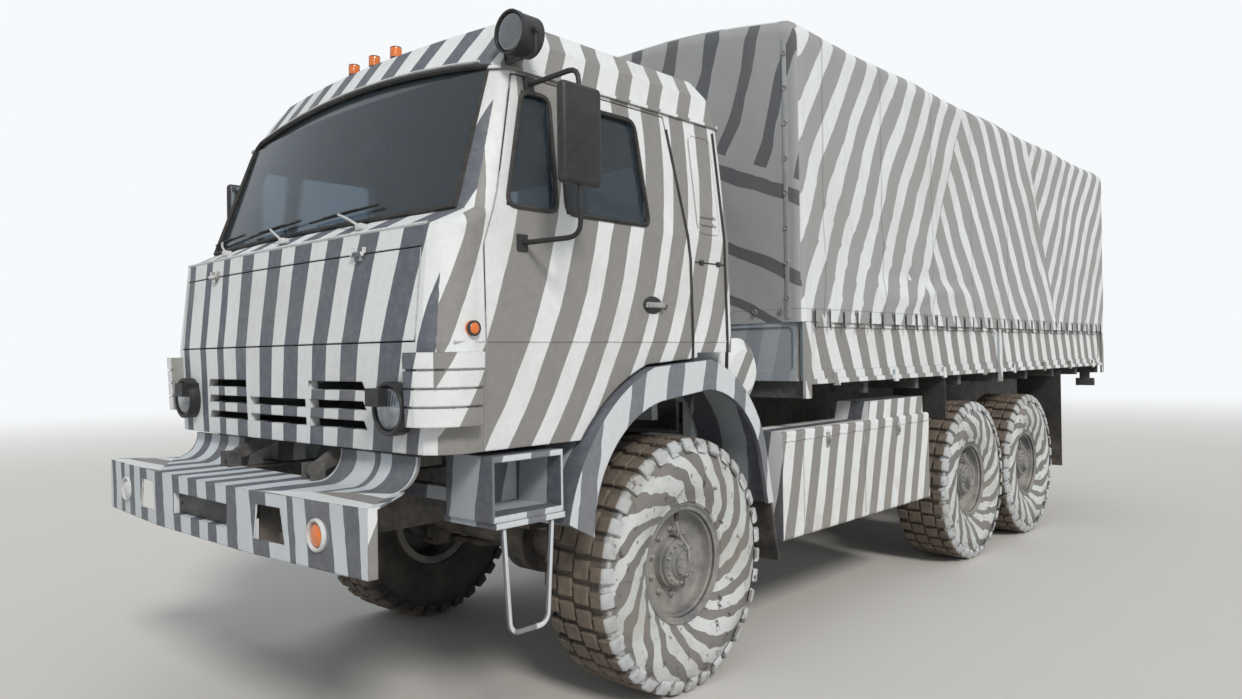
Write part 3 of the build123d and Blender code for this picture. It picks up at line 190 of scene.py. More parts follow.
def roundCorners(points, corner):
    # each inner corner of a bar gets a short arc of five points
    points = [Vector(p) for p in points]
    route = [points[0]]
    for before, here, after in zip(points, points[1:], points[2:]):
        back, ahead = (before - here).normalized(), (after - here).normalized()
        reach = min(corner, (before - here).length * 0.45, (after - here).length * 0.45)
        start, end = here + back * reach, here + ahead * reach
        for share in (0, 0.25, 0.5, 0.75, 1):
            route.append(start * (1 - share) ** 2 + here * 2 * share * (1 - share) + end * share ** 2)
    route.append(points[-1])
    return route


def twinOf(item, name):
    # a plain copy with its own mesh
    twin = item.copy()
    twin.data = item.data.copy()
    twin.name = name
    bpy.context.collection.objects.link(twin)
    return twin


def copyOf(item, name, move=(0, 0, 0), turn=None):
    # a copy, turned about the origin and then moved in its points
    twin = twinOf(item, name)
    change = Matrix.Translation(move)
    if turn:
        axis, angle = turn
        change = change @ Matrix.Rotation(angle, 4, axis)
    twin.data.transform(change)
    return twin


def turned(item, turn):
    # turns the piece itself about an axis through the origin
    axis, angle = turn
    item.data.transform(Matrix.Rotation(angle, 4, axis))
    return item


def moved(item, place):
    # moves the piece's points, not the object
    item.data.transform(Matrix.Translation(place))
    return item


def otherSide(item, name):
    # the same piece on the truck's other side
    twin = twinOf(item, name)
    twin.scale = (-1, 1, 1)
    settle(twin)
    faceOut(twin)
    return twin


def bothSides(name, left):
    # the left piece and its mirror image as one
    return joinAll(name, [left, otherSide(left, f"{name}Right")])


def joinAll(name, items):
    clearSelection()
    for item in items:
        item.select_set(True)
    bpy.context.view_layer.objects.active = items[0]
    if len(items) > 1:
        bpy.ops.object.join()
    whole = bpy.context.view_layer.objects.active
    whole.name = name
    whole.data.name = name
    return whole


def finishPiece(item, body, material, replaced=()):
    if material:
        item.data.materials.clear()
        item.data.materials.append(material)
    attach(item, body)
    if replaced:
        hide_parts(*replaced)


# Building materials

class Nodes:
    # one material's node tree, with short ways to add the nodes that repeat
    def __init__(self, name):
        self.material = bpy.data.materials.new(name)
        self.material.use_nodes = True
        self.tree = self.material.node_tree
        self.shader = self.tree.nodes["Principled BSDF"]
        self.place = self.tree.nodes.new("ShaderNodeTexCoord").outputs["Object"]

    def add(self, kind, **settings):
        made = self.tree.nodes.new(kind)
        for key, value in settings.items():
            setattr(made, key, value)
        return made

    def plug(self, socket, value):
        if isinstance(value, bpy.types.NodeSocket):
            self.tree.links.new(value, socket)
        else:
            socket.default_value = value

    def give(self, name, value):
        # sets or feeds a socket of the shader itself
        self.plug(self.shader.inputs[name], value)

    def maths(self, operation, first, second=0.0):
        made = self.add("ShaderNodeMath", operation=operation)
        self.plug(made.inputs[0], first)
        self.plug(made.inputs[1], second)
        return made.outputs[0]

    def plus(self, first, second):
        return self.maths("ADD", first, second)

    def minus(self, first, second):
        return self.maths("SUBTRACT", first, second)

    def times(self, first, second):
        return self.maths("MULTIPLY", first, second)

    def below(self, value, limit):
        return self.maths("LESS_THAN", value, limit)

    def above(self, value, limit):
        return self.maths("GREATER_THAN", value, limit)

    def either(self, first, second):
        return self.maths("MAXIMUM", first, second)

    def size(self, value):
        return self.maths("ABSOLUTE", value)

    def stripe(self, place, pitch, share):
        # 1 on the first share of every pitch
        return self.below(self.maths("FRACT", self.maths("DIVIDE", place, pitch)), share)

    def facing(self):
        # the three parts of the surface's own direction
        return self.split(self.tree.nodes["Texture Coordinate"].outputs["Normal"])

    def split(self, vector=None):
        made = self.add("ShaderNodeSeparateXYZ")
        self.plug(made.inputs[0], vector or self.place)
        return made.outputs

    def moved(self, location=(0, 0, 0), scale=(1, 1, 1)):
        made = self.add("ShaderNodeMapping")
        self.plug(made.inputs["Vector"], self.place)
        made.inputs["Location"].default_value = location
        made.inputs["Scale"].default_value = scale
        return made.outputs[0]

    def noise(self, scale, detail, rough, vector=None):
        made = self.add("ShaderNodeTexNoise")
        self.plug(made.inputs["Vector"], vector or self.place)
        made.inputs["Scale"].default_value = scale
        made.inputs["Detail"].default_value = detail
        made.inputs["Roughness"].default_value = rough
        return made.outputs["Fac"]

    def spread(self, value, low, high, toLow=0.0, toHigh=1.0):
        made = self.add("ShaderNodeMapRange", interpolation_type="SMOOTHSTEP")
        for socket, part in zip(made.inputs, (value, low, high, toLow, toHigh)):
            self.plug(socket, part)
        return made.outputs[0]

    def mix(self, share, first, second):
        made = self.add("ShaderNodeMix", data_type="RGBA")
        self.plug(made.inputs[0], share)
        self.plug(made.inputs[6], first)
        self.plug(made.inputs[7], second)
        return made.outputs[2]

    def bump(self, height, strength, distance):
        made = self.add("ShaderNodeBump")
        made.inputs["Strength"].default_value = strength
        made.inputs["Distance"].default_value = distance
        self.plug(made.inputs["Height"], height)
        self.give("Normal", made.outputs[0])
        return made


def colour(red, green, blue):
    return (red, green, blue, 1.0)


def bands(nodes, along, height, look):
    # 0 on the light paint and 1 on the dark, along one axis; stripes lean and bend with height
    rise = nodes.minus(height, look.get("level", 0.0))
    lean = nodes.times(rise, look.get("lean", 0.0))
    bend = nodes.times(nodes.times(rise, rise), look.get("bend", 0.0))
    fan = nodes.times(nodes.times(along, rise), look.get("fan", 0.0))
    waver = nodes.minus(nodes.noise(look.get("wobbleScale", 2.2), 3.0, 0.55), 0.5)
    place = nodes.minus(nodes.minus(nodes.minus(along, lean), bend), fan)
    place = nodes.plus(place, nodes.times(waver, look.get("wobble", 0.06)))
    if "edges" not in look:
        return nodes.stripe(place, look["pitch"], look["dark"])
    margin = 0.1
    start, end = look["edges"][0] - margin, look["edges"][-1] + margin
    ramp = nodes.add("ShaderNodeValToRGB")
    ramp.color_ramp.interpolation = "CONSTANT"
    nodes.plug(ramp.inputs[0], nodes.maths("DIVIDE", nodes.minus(place, start), end - start))
    stops = ramp.color_ramp.elements
    stops[0].position = 0.0
    stops[0].color = colour(0, 0, 0)
    stops.remove(stops[1])
    for index, edge in enumerate(look["edges"]):
        # light and dark take turns from edge to edge
        tone = 1.0 if index % 2 == 0 else 0.0
        stop = stops.new((edge - start) / (end - start))
        stop.color = colour(tone, tone, tone)
    return ramp.outputs[0]


# wear over every paint; a noise is its scale, detail and roughness
wearLook = {
    "stainNoise": (1.7, 6.0, 0.62), "stainColour": colour(0.30, 0.28, 0.25),
    "mottleNoise": (28.0, 4.0, 0.6), "mottleColour": colour(0.42, 0.41, 0.40),
    "dustNoise": (6.0, 5.0, 0.6), "dustColour": colour(0.34, 0.28, 0.21), "dustFoot": 0.35,
    "chipNoise": (45.0, 3.0, 0.7), "chipColour": colour(0.20, 0.19, 0.18),
    "chips": 0.8, "cornerRadius": 0.008,
    "grainNoise": (70.0, 3.0, 0.6), "grainDepth": 0.002, "glossNoise": (9.0, 4.0, 0.6), "specular": 0.4,
}


def finishPaint(nodes, base, look, wear=wearLook):
    # dust, stains and chipped edges over the painted colour, then the gloss
    stain = nodes.spread(nodes.noise(*wear["stainNoise"]), 0.42, 0.75)
    base = nodes.mix(nodes.times(stain, look.get("stain", 0.22)), base, wear["stainColour"])
    mottle = nodes.spread(nodes.noise(*wear["mottleNoise"]), 0.35, 0.8)
    base = nodes.mix(nodes.times(mottle, look.get("mottle", 0.16)), base, wear["mottleColour"])
    low = nodes.spread(nodes.split()[2], look.get("dustTop", 1.25), wear["dustFoot"])
    dusty = nodes.times(low, nodes.spread(nodes.noise(*wear["dustNoise"]), 0.3, 0.7))
    base = nodes.mix(nodes.times(dusty, look.get("dust", 0.55)), base, wear["dustColour"])
    bump = nodes.bump(nodes.noise(*wear["grainNoise"]), look.get("rough", 0.25), wear["grainDepth"])
    if look.get("worn", True):
        corner = nodes.add("ShaderNodeBevel", samples=3)
        corner.inputs["Radius"].default_value = wear["cornerRadius"]
        near = nodes.add("ShaderNodeVectorMath", operation="DOT_PRODUCT")
        nodes.plug(near.inputs[0], corner.outputs[0])
        nodes.plug(near.inputs[1], nodes.add("ShaderNodeNewGeometry").outputs["Normal"])
        edge = nodes.spread(near.outputs["Value"], 0.97, 0.85)
        chips = nodes.spread(nodes.noise(*wear["chipNoise"]), 0.52, 0.62)
        bare = nodes.times(nodes.times(edge, chips), wear["chips"])
        base = nodes.mix(bare, base, wear["chipColour"])
        nodes.plug(bump.inputs["Normal"], corner.outputs[0])
    nodes.give("Base Color", base)
    gloss = nodes.noise(*wear["glossNoise"])
    nodes.give("Roughness", nodes.spread(gloss, 0.2, 0.8, look.get("gloss", 0.48), look.get("matt", 0.72)))
    nodes.give("Specular IOR Level", wear["specular"])
    return nodes.material


paintWhite = colour(0.74, 0.76, 0.76)
paintSlate = colour(0.105, 0.115, 0.14)
paintTaupe = colour(0.245, 0.235, 0.225)


def stripedPaint(name, look):
    # hand-painted stripes: one set on faces that look ahead or back, one on faces that look sideways
    nodes = Nodes(name)
    x, y, z = nodes.split()
    facing = nodes.facing()
    sideways = nodes.above(nodes.size(facing[0]), nodes.size(facing[1]))
    light = look.get("light", paintWhite)
    # where a look gives it, faces that look ahead or back take a dimmer, bluer light tone than the sides:
    # painted shade
    frontColour = nodes.mix(bands(nodes, x, z, look["front"]), look.get("frontLightInShade", light),
                            look.get("frontDark", paintSlate))
    sideColour = nodes.mix(bands(nodes, y, z, look["side"]), light, look.get("sideDark", paintTaupe))
    base = nodes.mix(sideways, frontColour, sideColour)
    if "middle" in look:
        # faces that look towards the middle of the room inside, or down, are plain
        inward, down = -0.3, -0.6
        across = nodes.times(x, facing[0])
        along = nodes.times(nodes.minus(y, look["middle"]), facing[1])
        inside = nodes.either(nodes.below(across, inward), nodes.below(along, inward))
        inside = nodes.either(inside, nodes.below(facing[2], down))
        base = nodes.mix(inside, base, look["inside"])
    return finishPaint(nodes, base, look)


# The painted sheet metal

cabLook = {
    # stripe edges in metres across the cab's front, at the service panel's lower edge
    "front": {"edges": [-1.063, -0.988, -0.838, -0.763, -0.62, -0.545, -0.40, -0.28, -0.138, -0.02,
                        0.10, 0.225, 0.355, 0.463, 0.58, 0.70, 0.855, 1.0, 1.09, 1.17],
              "level": 1.73, "lean": 0.12, "fan": 0.12, "wobble": 0.035},
    # and along the cab's side, at the lower edge of the door's crease
    "side": {"edges": [-4.30, -4.22, -4.063, -3.838, -3.713, -3.588, -3.488, -3.363, -3.275, -3.138,
                       -3.063, -2.95, -2.86, -2.75, -2.663, -2.55, -2.44, -2.36, -2.26, -2.15],
             "level": 1.70, "lean": 0.463, "bend": -0.207, "wobble": 0.04},
    "middle": -3.2, "inside": colour(0.33, 0.33, 0.31),
    "gloss": 0.42, "matt": 0.62,
}

roofLook = {
    "front": {"pitch": 0.235, "dark": 0.46, "level": 2.9, "lean": 0.2, "wobble": 0.05},
    "side": {"pitch": 0.225, "dark": 0.43, "level": 2.95, "lean": 0.45, "wobble": 0.05},
    "middle": -3.2, "inside": colour(0.33, 0.33, 0.31),
    "gloss": 0.42, "matt": 0.62,
}

bumperLook = {
    # broad patches at the left end, narrow stripes in the middle, as on the photo
    "front": {"edges": [-1.20, -1.14, -1.05, -0.99, -0.90, -0.82, -0.72, -0.62, -0.50, -0.40, -0.29, -0.21,
                        -0.11, -0.02, 0.08, 0.17, 0.27, 0.36, 0.48, 0.60, 0.74, 0.78, 0.86, 1.02, 1.10, 1.18],
              "level": 1.02, "lean": -0.10, "wobble": 0.05, "wobbleScale": 3.5},
    # the light paint on the faces that look ahead is the white dimmed and blued: painted shade
    "frontLightInShade": colour(0.56, 0.60, 0.63),
    "side": {"pitch": 0.20, "dark": 0.5, "level": 1.0, "lean": 0.5, "wobble": 0.05},
    "dust": 0.25,
}

fenderLook = {
    "front": {"pitch": 0.34, "dark": 0.5, "lean": 0.1, "wobble": 0.09},
    "side": {"pitch": 0.27, "dark": 0.42, "level": 1.6, "lean": 0.15, "wobble": 0.10, "wobbleScale": 3.0},
    # the light tone on faces that look ahead or back is the white dimmed and blued: painted shade
    "frontLightInShade": colour(0.40, 0.44, 0.48), "light": colour(0.60, 0.63, 0.65),
    "sideDark": colour(0.17, 0.18, 0.20), "dust": 0.35,
}

boxLook = {
    "front": {"pitch": 0.20, "dark": 0.5, "lean": 0.2, "wobble": 0.04},
    "side": {"pitch": 0.205, "dark": 0.5, "level": 0.9, "lean": 0.25, "wobble": 0.04},
    "dust": 0.35,
}

boardLook = {
    "front": {"pitch": 0.24, "dark": 0.5, "lean": 0.2, "wobble": 0.05},
    "side": {"pitch": 0.25, "dark": 0.5, "level": 1.6, "lean": -0.35, "wobble": 0.12, "wobbleScale": 1.2},
    # the light tone on faces that look ahead or back is the white dimmed and blued: painted shade
    "frontLightInShade": colour(0.40, 0.44, 0.48), "frontDark": colour(0.30, 0.335, 0.375),
    "middle": 1.45, "inside": colour(0.20, 0.21, 0.19), "dust": 0.2,
}

airLook = {
    # a white drum with one slanting band
    "front": {"edges": [5.0, 5.1]}, "dust": 0.2,
    "side": {"edges": [-2.20, -2.11], "level": 1.56, "lean": 0.7, "wobble": 0.02},
}

cabPaint = stripedPaint("cabPaint", cabLook)
roofPaint = stripedPaint("roofPaint", roofLook)
bumperPaint = stripedPaint("bumperPaint", bumperLook)
fenderPaint = stripedPaint("fenderPaint", fenderLook)
boxPaint = stripedPaint("boxPaint", boxLook)
boardPaint = stripedPaint("boardPaint", boardLook)
airPaint = stripedPaint("airPaint", airLook)


def plainPaint(name, look):
    # one colour in two tones, in patches
    nodes = Nodes(name)
    tone = nodes.noise(look.get("patch", 2.5), 5.0, 0.6)
    base = nodes.mix(nodes.spread(tone, 0.35, 0.7), look["one"], look["two"])
    return finishPaint(nodes, base, look)


chassisPaint = plainPaint("chassisPaint", {
    "one": colour(0.045, 0.046, 0.05), "two": colour(0.075, 0.072, 0.068), "dust": 0.6, "dustTop": 1.5,
    "gloss": 0.55, "matt": 0.85})
engineIron = plainPaint("engineIron", {
    "one": colour(0.10, 0.10, 0.10), "two": colour(0.16, 0.145, 0.125), "dust": 0.5, "dustTop": 1.6,
    "gloss": 0.6, "matt": 0.85})
blackPlastic = plainPaint("blackPlastic", {
    "one": colour(0.018, 0.018, 0.02), "two": colour(0.03, 0.03, 0.032), "dust": 0.1, "stain": 0.05,
    "mottle": 0.03, "gloss": 0.35, "matt": 0.55, "worn": False})
blackRubber = plainPaint("blackRubber", {
    "one": colour(0.022, 0.022, 0.023), "two": colour(0.04, 0.038, 0.036), "dust": 0.45, "stain": 0.1,
    "mottle": 0.05, "gloss": 0.7, "matt": 0.9, "worn": False})
seatVinyl = plainPaint("seatVinyl", {
    "one": colour(0.05, 0.045, 0.04), "two": colour(0.075, 0.065, 0.055), "dust": 0.0, "stain": 0.1,
    "gloss": 0.5, "matt": 0.7, "worn": False})
plainWhite = plainPaint("plainWhite", {
    "one": colour(0.70, 0.72, 0.72), "two": colour(0.60, 0.61, 0.60), "patch": 9.0, "dust": 0.2,
    "gloss": 0.4, "matt": 0.6})
bowPaint = plainPaint("bowPaint", {
    "one": colour(0.20, 0.21, 0.20), "two": colour(0.26, 0.26, 0.25), "dust": 0.1})
wheelPaint = plainPaint("wheelPaint", {
    "one": colour(0.13, 0.135, 0.14), "two": colour(0.27, 0.275, 0.28), "patch": 6.0, "dust": 0.45,
    "dustTop": 1.3, "stain": 0.35})
steelMetal = plainPaint("steelMetal", {
    "one": colour(0.38, 0.38, 0.38), "two": colour(0.22, 0.21, 0.20), "patch": 20.0, "dust": 0.3,
    "gloss": 0.3, "matt": 0.6})
curtainCloth = plainPaint("curtainCloth", {
    "one": colour(0.33, 0.33, 0.33), "two": colour(0.42, 0.42, 0.41), "patch": 5.0, "dust": 0.0,
    "gloss": 0.8, "matt": 0.9, "worn": False, "rough": 0.4})
seamCloth = plainPaint("seamCloth", {
    "one": colour(0.30, 0.31, 0.32), "two": colour(0.38, 0.39, 0.40), "patch": 6.0, "dust": 0.0,
    "gloss": 0.8, "matt": 0.9, "worn": False})


woodLook = {"plank": 0.17, "seam": 0.035, "grain": (6.0, 6.0, 0.65), "alongGrain": (9, 0.7, 9)}


def makePlankWood(look):
    nodes = Nodes("plankWood")
    grain = nodes.noise(*look["grain"], nodes.moved(scale=look["alongGrain"]))
    base = nodes.mix(nodes.spread(grain, 0.3, 0.7), colour(0.21, 0.15, 0.10), colour(0.34, 0.27, 0.19))
    seam = nodes.stripe(nodes.split()[0], look["plank"], look["seam"])
    nodes.give("Base Color", nodes.mix(seam, base, colour(0.03, 0.025, 0.02)))
    nodes.give("Roughness", nodes.spread(grain, 0.2, 0.8, 0.6, 0.85))
    nodes.bump(nodes.minus(grain, seam), 0.4, 0.004)
    return nodes.material


def makeGlass(name, tint, mirror=False):
    # clear or silvered glass, smeared a little
    nodes = Nodes(name)
    smear = nodes.spread(nodes.noise(5.0, 5.0, 0.6), 0.45, 0.8)
    nodes.give("Base Color", nodes.mix(nodes.times(smear, 0.15), tint, colour(0.5, 0.5, 0.48)))
    nodes.give("Roughness", nodes.spread(nodes.noise(9.0, 4.0, 0.6), 0.3, 0.8, 0.02, 0.12))
    if mirror:
        nodes.give("Metallic", 1.0)
    else:
        nodes.give("Transmission Weight", 0.92)
        nodes.give("IOR", 1.3)
    return nodes.material


plankWood = makePlankWood(woodLook)
windowGlass = makeGlass("windowGlass", colour(0.30, 0.36, 0.41))
print("materials made")


# Finishes for the CAD nodes

nodeFinishes = {
    "cab_front": cabPaint, "cab_quarters": cabPaint, "cab_rear_wall": cabPaint, "door_left": cabPaint,
    "door_right": cabPaint, "front_panel": cabPaint, "cab_roof": roofPaint, "front_bumper": bumperPaint,
    "front_fenders": fenderPaint, "side_boxes": boxPaint, "cargo_sides": boardPaint, "tailgate": boxPaint,
    "body_posts": boardPaint, "air_cleaner": airPaint, "step_boxes": fenderPaint,
    "cab_glass": windowGlass, "door_glass_left": windowGlass, "door_glass_right": windowGlass,
    "cargo_floor": plankWood, "canopy_bows": bowPaint, "seats": seatVinyl, "engine_cover": seatVinyl,
    "dashboard": blackPlastic, "mirror_left": blackPlastic, "mirror_right": blackPlastic,
    "mudflaps": blackRubber, "cab_lamps": blackPlastic,
    "engine_block": engineIron, "driveline": engineIron, "muffler": engineIron,
}

for name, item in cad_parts.items():
    finish = nodeFinishes.get(name, chassisPaint)
    item.data.materials.clear()
    item.data.materials.append(finish)
print("CAD nodes painted")


# Tyres

tyreLook = {
    "rows": 34, "treadRadius": 0.6235, "grooveRadius": 0.600,
    "blockWidth": 0.088, "blockLength": 0.086, "gap": 0.014, "bevel": 0.005,
    "pairs": 15, "swirl": -6.5, "stagger": 0.0194,
}

# half of the carcass: distance from the middle and radius
tyreProfile = [
    (-0.149, 0.264), (-0.152, 0.296), (-0.166, 0.305), (-0.172, 0.330), (-0.190, 0.352), (-0.2035, 0.395),
    (-0.2100, 0.440), (-0.2105, 0.478), (-0.2050, 0.512), (-0.2000, 0.520), (-0.1920, 0.556),
    (-0.1720, 0.588), (-0.1200, 0.5985), (0.0, 0.6010),
]

rubberLook = {
    "treadFrom": 0.585, "treadTo": 0.612, "swirlFrom": 0.45, "waver": 1.1, "paintShare": 0.46, "shift": 40.0,
    "wallX": (1.160, 1.185), "wallRadius": (0.606, 0.598),
    "shoulderX": (1.196, 1.206), "shoulderRadius": (0.560, 0.575), "cover": 0.92, "film": 0.35,
    "black": colour(0.035, 0.034, 0.034), "grey": colour(0.075, 0.070, 0.066),
    "mud": colour(0.20, 0.155, 0.115), "light": colour(0.60, 0.62, 0.61), "dark": colour(0.20, 0.19, 0.185),
    "scuffed": colour(0.50, 0.52, 0.53), "dust": colour(0.26, 0.22, 0.17),
}


def makeTyreRubber(name, centre, tyre, painted=True, look=rubberLook):
    # dusty tread, and on the outer side the painted stripes that swirl round the wheel
    nodes = Nodes(name)
    x, y, z = nodes.split(nodes.moved(location=(0, -centre[1], -centre[2])))
    radius = nodes.maths("SQRT", nodes.plus(nodes.times(y, y), nodes.times(z, z)))
    patch = nodes.spread(nodes.noise(7.0, 5.0, 0.6), 0.3, 0.7)
    rubber = nodes.mix(patch, look["black"], look["grey"])
    muddy = nodes.mix(nodes.spread(nodes.noise(16.0, 4.0, 0.6), 0.25, 0.75, 0.35, 0.85), rubber, look["mud"])
    base = nodes.mix(nodes.spread(radius, look["treadFrom"], look["treadTo"]), rubber, muddy)
    if painted:
        turns = nodes.times(nodes.maths("ARCTAN2", z, y), tyre["pairs"] / (2 * math.pi))
        swirled = nodes.plus(turns, nodes.times(nodes.minus(radius, look["swirlFrom"]), tyre["swirl"]))
        waver = nodes.times(nodes.minus(nodes.noise(5.0, 2.0, 0.5), 0.5), look["waver"])
        place = nodes.plus(nodes.plus(swirled, waver), look["shift"])
        stripe = nodes.below(nodes.maths("FRACT", place), look["paintShare"])
        far = nodes.size(x)
        wall = nodes.times(nodes.spread(far, *look["wallX"]), nodes.spread(radius, *look["wallRadius"]))
        shoulder = nodes.times(nodes.spread(far, *look["shoulderX"]),
                               nodes.spread(radius, *look["shoulderRadius"]))
        rubbed = nodes.spread(nodes.noise(21.0, 5.0, 0.65), 0.30, 0.42)
        covered = nodes.times(nodes.either(wall, shoulder), rubbed)
        paint = nodes.mix(shoulder, nodes.mix(stripe, look["light"], look["dark"]), look["scuffed"])
        base = nodes.mix(nodes.times(covered, look["cover"]), base, paint)
    film = nodes.times(nodes.spread(nodes.noise(3.1, 6.0, 0.65), 0.42, 0.70), look["film"])
    nodes.give("Base Color", nodes.mix(film, base, look["dust"]))
    nodes.give("Roughness", nodes.spread(patch, 0.0, 1.0, 0.72, 0.92))
    nodes.bump(nodes.noise(60.0, 4.0, 0.6), 0.35, 0.003)
    return nodes.material


def addPrism(name, outline, depth, bevel):
    # outline is (x, z) points; the prism runs along Y by depth, its middle at y 0
    clearSelection()
    bpy.ops.mesh.primitive_circle_add(vertices=len(outline), radius=1, fill_type="NGON")
    prism = bpy.context.object
    prism.name = name
    for vertex, (x, z) in zip(prism.data.vertices, outline):
        vertex.co = (x, -depth / 2, z)
    bpy.ops.object.mode_set(mode="EDIT")
    bpy.ops.mesh.select_all(action="SELECT")
    bpy.ops.mesh.extrude_region_move(TRANSFORM_OT_translate={"value": (0, depth, 0)})
    bpy.ops.object.mode_set(mode="OBJECT")
    faceOut(prism)
    settle(prism)
    softenEdges(prism, bevel, 1)
    return prism


def makeTyreMesh(look):
    # one tyre about the X axis at the origin, its outer side at +X
    whole = tyreProfile + [(-x, r) for x, r in reversed(tyreProfile[:-1])]
    carcass = latheAround("tyreCarcass", whole, 3 * look["rows"])
    top, low = look["treadRadius"], look["grooveRadius"] - 0.004
    width, gap, length = look["blockWidth"], look["gap"], look["blockLength"]
    start = width + gap * 1.5
    shoulder = [(start, low), (start, top), (0.168, top - 0.001), (0.190, top - 0.008), (0.2085, 0.578),
                (0.2065, 0.548), (0.196, 0.556), (0.180, 0.584)]
    outerBlock = addPrism("outerBlock", shoulder, length * 0.80, look["bevel"])
    innerBlock = addBox("innerBlock", (gap / 2, -length / 2, low), (gap / 2 + width, length / 2, top),
                        look["bevel"], 1)
    # across the tread each block stands a little further round than the one before
    row = [outerBlock, turned(copyOf(innerBlock, "innerBlockLeft"), ("X", -look["stagger"]))]
    for master, steps in ((innerBlock, 3), (outerBlock, 4)):
        right = copyOf(master, f"{master.name}Right", turn=("Z", math.pi))
        row.append(turned(right, ("X", -steps * look["stagger"])))
    bpy.data.objects.remove(innerBlock)
    tread = joinAll("treadRow", row)
    copies = [carcass]
    for index in range(look["rows"]):
        copies.append(copyOf(tread, f"treadRow{index}", turn=("X", 2 * math.pi * index / look["rows"])))
    bpy.data.objects.remove(tread)
    return joinAll("tyreModel", copies)


wheelStations = (("front", frontAxleY), ("middle", middleAxleY), ("rear", rearAxleY))


def placeWheels(look):
    tyre = makeTyreMesh(look)
    rim = makeRimMesh(rimLook)
    for station, y in wheelStations:
        rubber = makeTyreRubber(f"{station}TyreRubber", (0, y, axleHeight), look)
        for side, sign in (("left", 1), ("right", -1)):
            turn = None if sign > 0 else ("Z", math.pi)
            place = (sign * wheelX, y, axleHeight)
            body = f"wheel_{station}_{side}"
            madeTyre = copyOf(tyre, f"{station}{side.title()}Tyre", move=place, turn=turn)
            finishPiece(madeTyre, body, rubber, [f"tyre_{station}_{side}"])
            madeRim = copyOf(rim, f"{station}{side.title()}Rim", move=place, turn=turn)
            finishPiece(madeRim, body, None, [f"rim_{station}_{side}"])
    sparePlace = [(a + b) / 2 for a, b in zip(*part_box("spare_tyre"))]
    spareRubber = makeTyreRubber("spareTyreRubber", (0, 0, 0), look, painted=False)
    lengthwise = ("Z", math.pi / 2)
    spare = copyOf(tyre, "spareTyreModel", move=sparePlace, turn=lengthwise)
    finishPiece(spare, "chassis", spareRubber, ["spare_tyre"])
    spareRim = copyOf(rim, "spareRimModel", move=sparePlace, turn=lengthwise)
    finishPiece(spareRim, "chassis", None, ["spare_rim"])
    for master in (tyre, rim):
        bpy.data.objects.remove(master)


# Rims

rimLook = {
    # rings of bolts: count, circle radius, place along the axis, radius, length, sides
    "rings": [(10, 0.160, 0.066, 0.0155, 0.026, 6), (10, 0.160, 0.082, 0.0080, 0.018, 12),
              (16, 0.095, 0.134, 0.0085, 0.014, 6), (8, 0.052, 0.172, 0.0060, 0.010, 6)],
    "pipe": [(0.172, 0, 0.0), (0.190, 0, 0.02), (0.186, 0, 0.085), (0.120, 0, 0.150), (0.110, 0, 0.228)],
    "pipeRadius": 0.006, "pipeCorner": 0.03, "valve": (0.112, 0, 0.232),
    "valveRadius": 0.012, "valveLong": 0.05, "guard": [(0.090, -0.028, 0.140), (0.142, 0.028, 0.150)],
}

# distance from the middle and radius, from the hub cap out to the bead seat and back inside
rimProfile = [
    (0.174, 0.0), (0.173, 0.050), (0.168, 0.062), (0.150, 0.066), (0.146, 0.072), (0.134, 0.076),
    (0.131, 0.084), (0.131, 0.106), (0.126, 0.113), (0.108, 0.116), (0.104, 0.124), (0.070, 0.128),
    (0.066, 0.140), (0.060, 0.186), (0.066, 0.214), (0.078, 0.238), (0.092, 0.2475), (0.128, 0.2495),
    (0.136, 0.256), (0.137, 0.266),
    (0.144, 0.268), (0.146, 0.262), (0.151, 0.262), (0.154, 0.271), (0.153, 0.283), (0.158, 0.286),
    (0.160, 0.292), (0.156, 0.2975), (0.150, 0.2975), (0.146, 0.290), (0.144, 0.264), (-0.144, 0.264),
    (-0.146, 0.290), (-0.151, 0.297), (-0.155, 0.297), (-0.158, 0.291), (-0.155, 0.2505), (0.044, 0.2500),
    (0.040, 0.215), (0.030, 0.180), (0.026, 0.135), (-0.025, 0.130), (-0.025, 0.057),
    (0.133, 0.057), (0.133, 0.0),
]


def makeRimMesh(look):
    # one rim with its hub, bolts and the pipe that feeds the tyre with air
    dish = latheAround("rimDish", rimProfile, 72)
    bolts = []
    for count, circle, place, radius, length, sides in look["rings"]:
        bolt = addRound("bolt", radius, length, (place, 0, circle), "X", sides, 0.0015)
        bolt.data.materials.append(steelMetal)
        for index in range(count):
            bolts.append(copyOf(bolt, f"bolt{index}", turn=("X", 2 * math.pi * index / count)))
        bpy.data.objects.remove(bolt)
    pipe = addRod("inflationPipe", look["pipe"], look["pipeRadius"], look["pipeCorner"])
    valve = addRound("valve", look["valveRadius"], look["valveLong"], look["valve"], "Z", 12, 0.002)
    guard = addBox("pipeGuard", *look["guard"], 0.003)
    finishes = ((dish, wheelPaint), (pipe, steelMetal), (valve, blackRubber), (guard, wheelPaint))
    for piece, material in finishes:
        piece.data.materials.append(material)
    return joinAll("rimModel", [dish, *bolts, pipe, valve, guard])


placeWheels(tyreLook)
print("tyres and rims made")


# Canvas

canvasLook = {
    "hemZ": 1.838, "halfWidth": 1.2455, "cornerZ": 3.6155, "topZ": 3.7155, "cornerRadius": 0.128,
    "frontY": -1.7455, "rearY": 4.6455, "bows": [-1.69, -0.125, 1.44, 3.005, 4.57],
    "across": 168, "along": 190, "wallRows": 34, "frontBend": 0.022, "bendShare": 0.03, "wallWidth": 2.49,
    "sideSag": 0.012, "topSag": 0.015, "hookPitch": 0.175, "hemWave": 0.0045, "hemReach": 0.16,
    "fold": 0.012, "crease": 0.011, "fine": 0.0035, "thickness": 0.005,
    # the long fold over the hem in the second bay: how far out, its height and half width
    "bulge": (0.016, 2.06, 0.055), "hollow": (0.010, 2.17, 0.05),
}


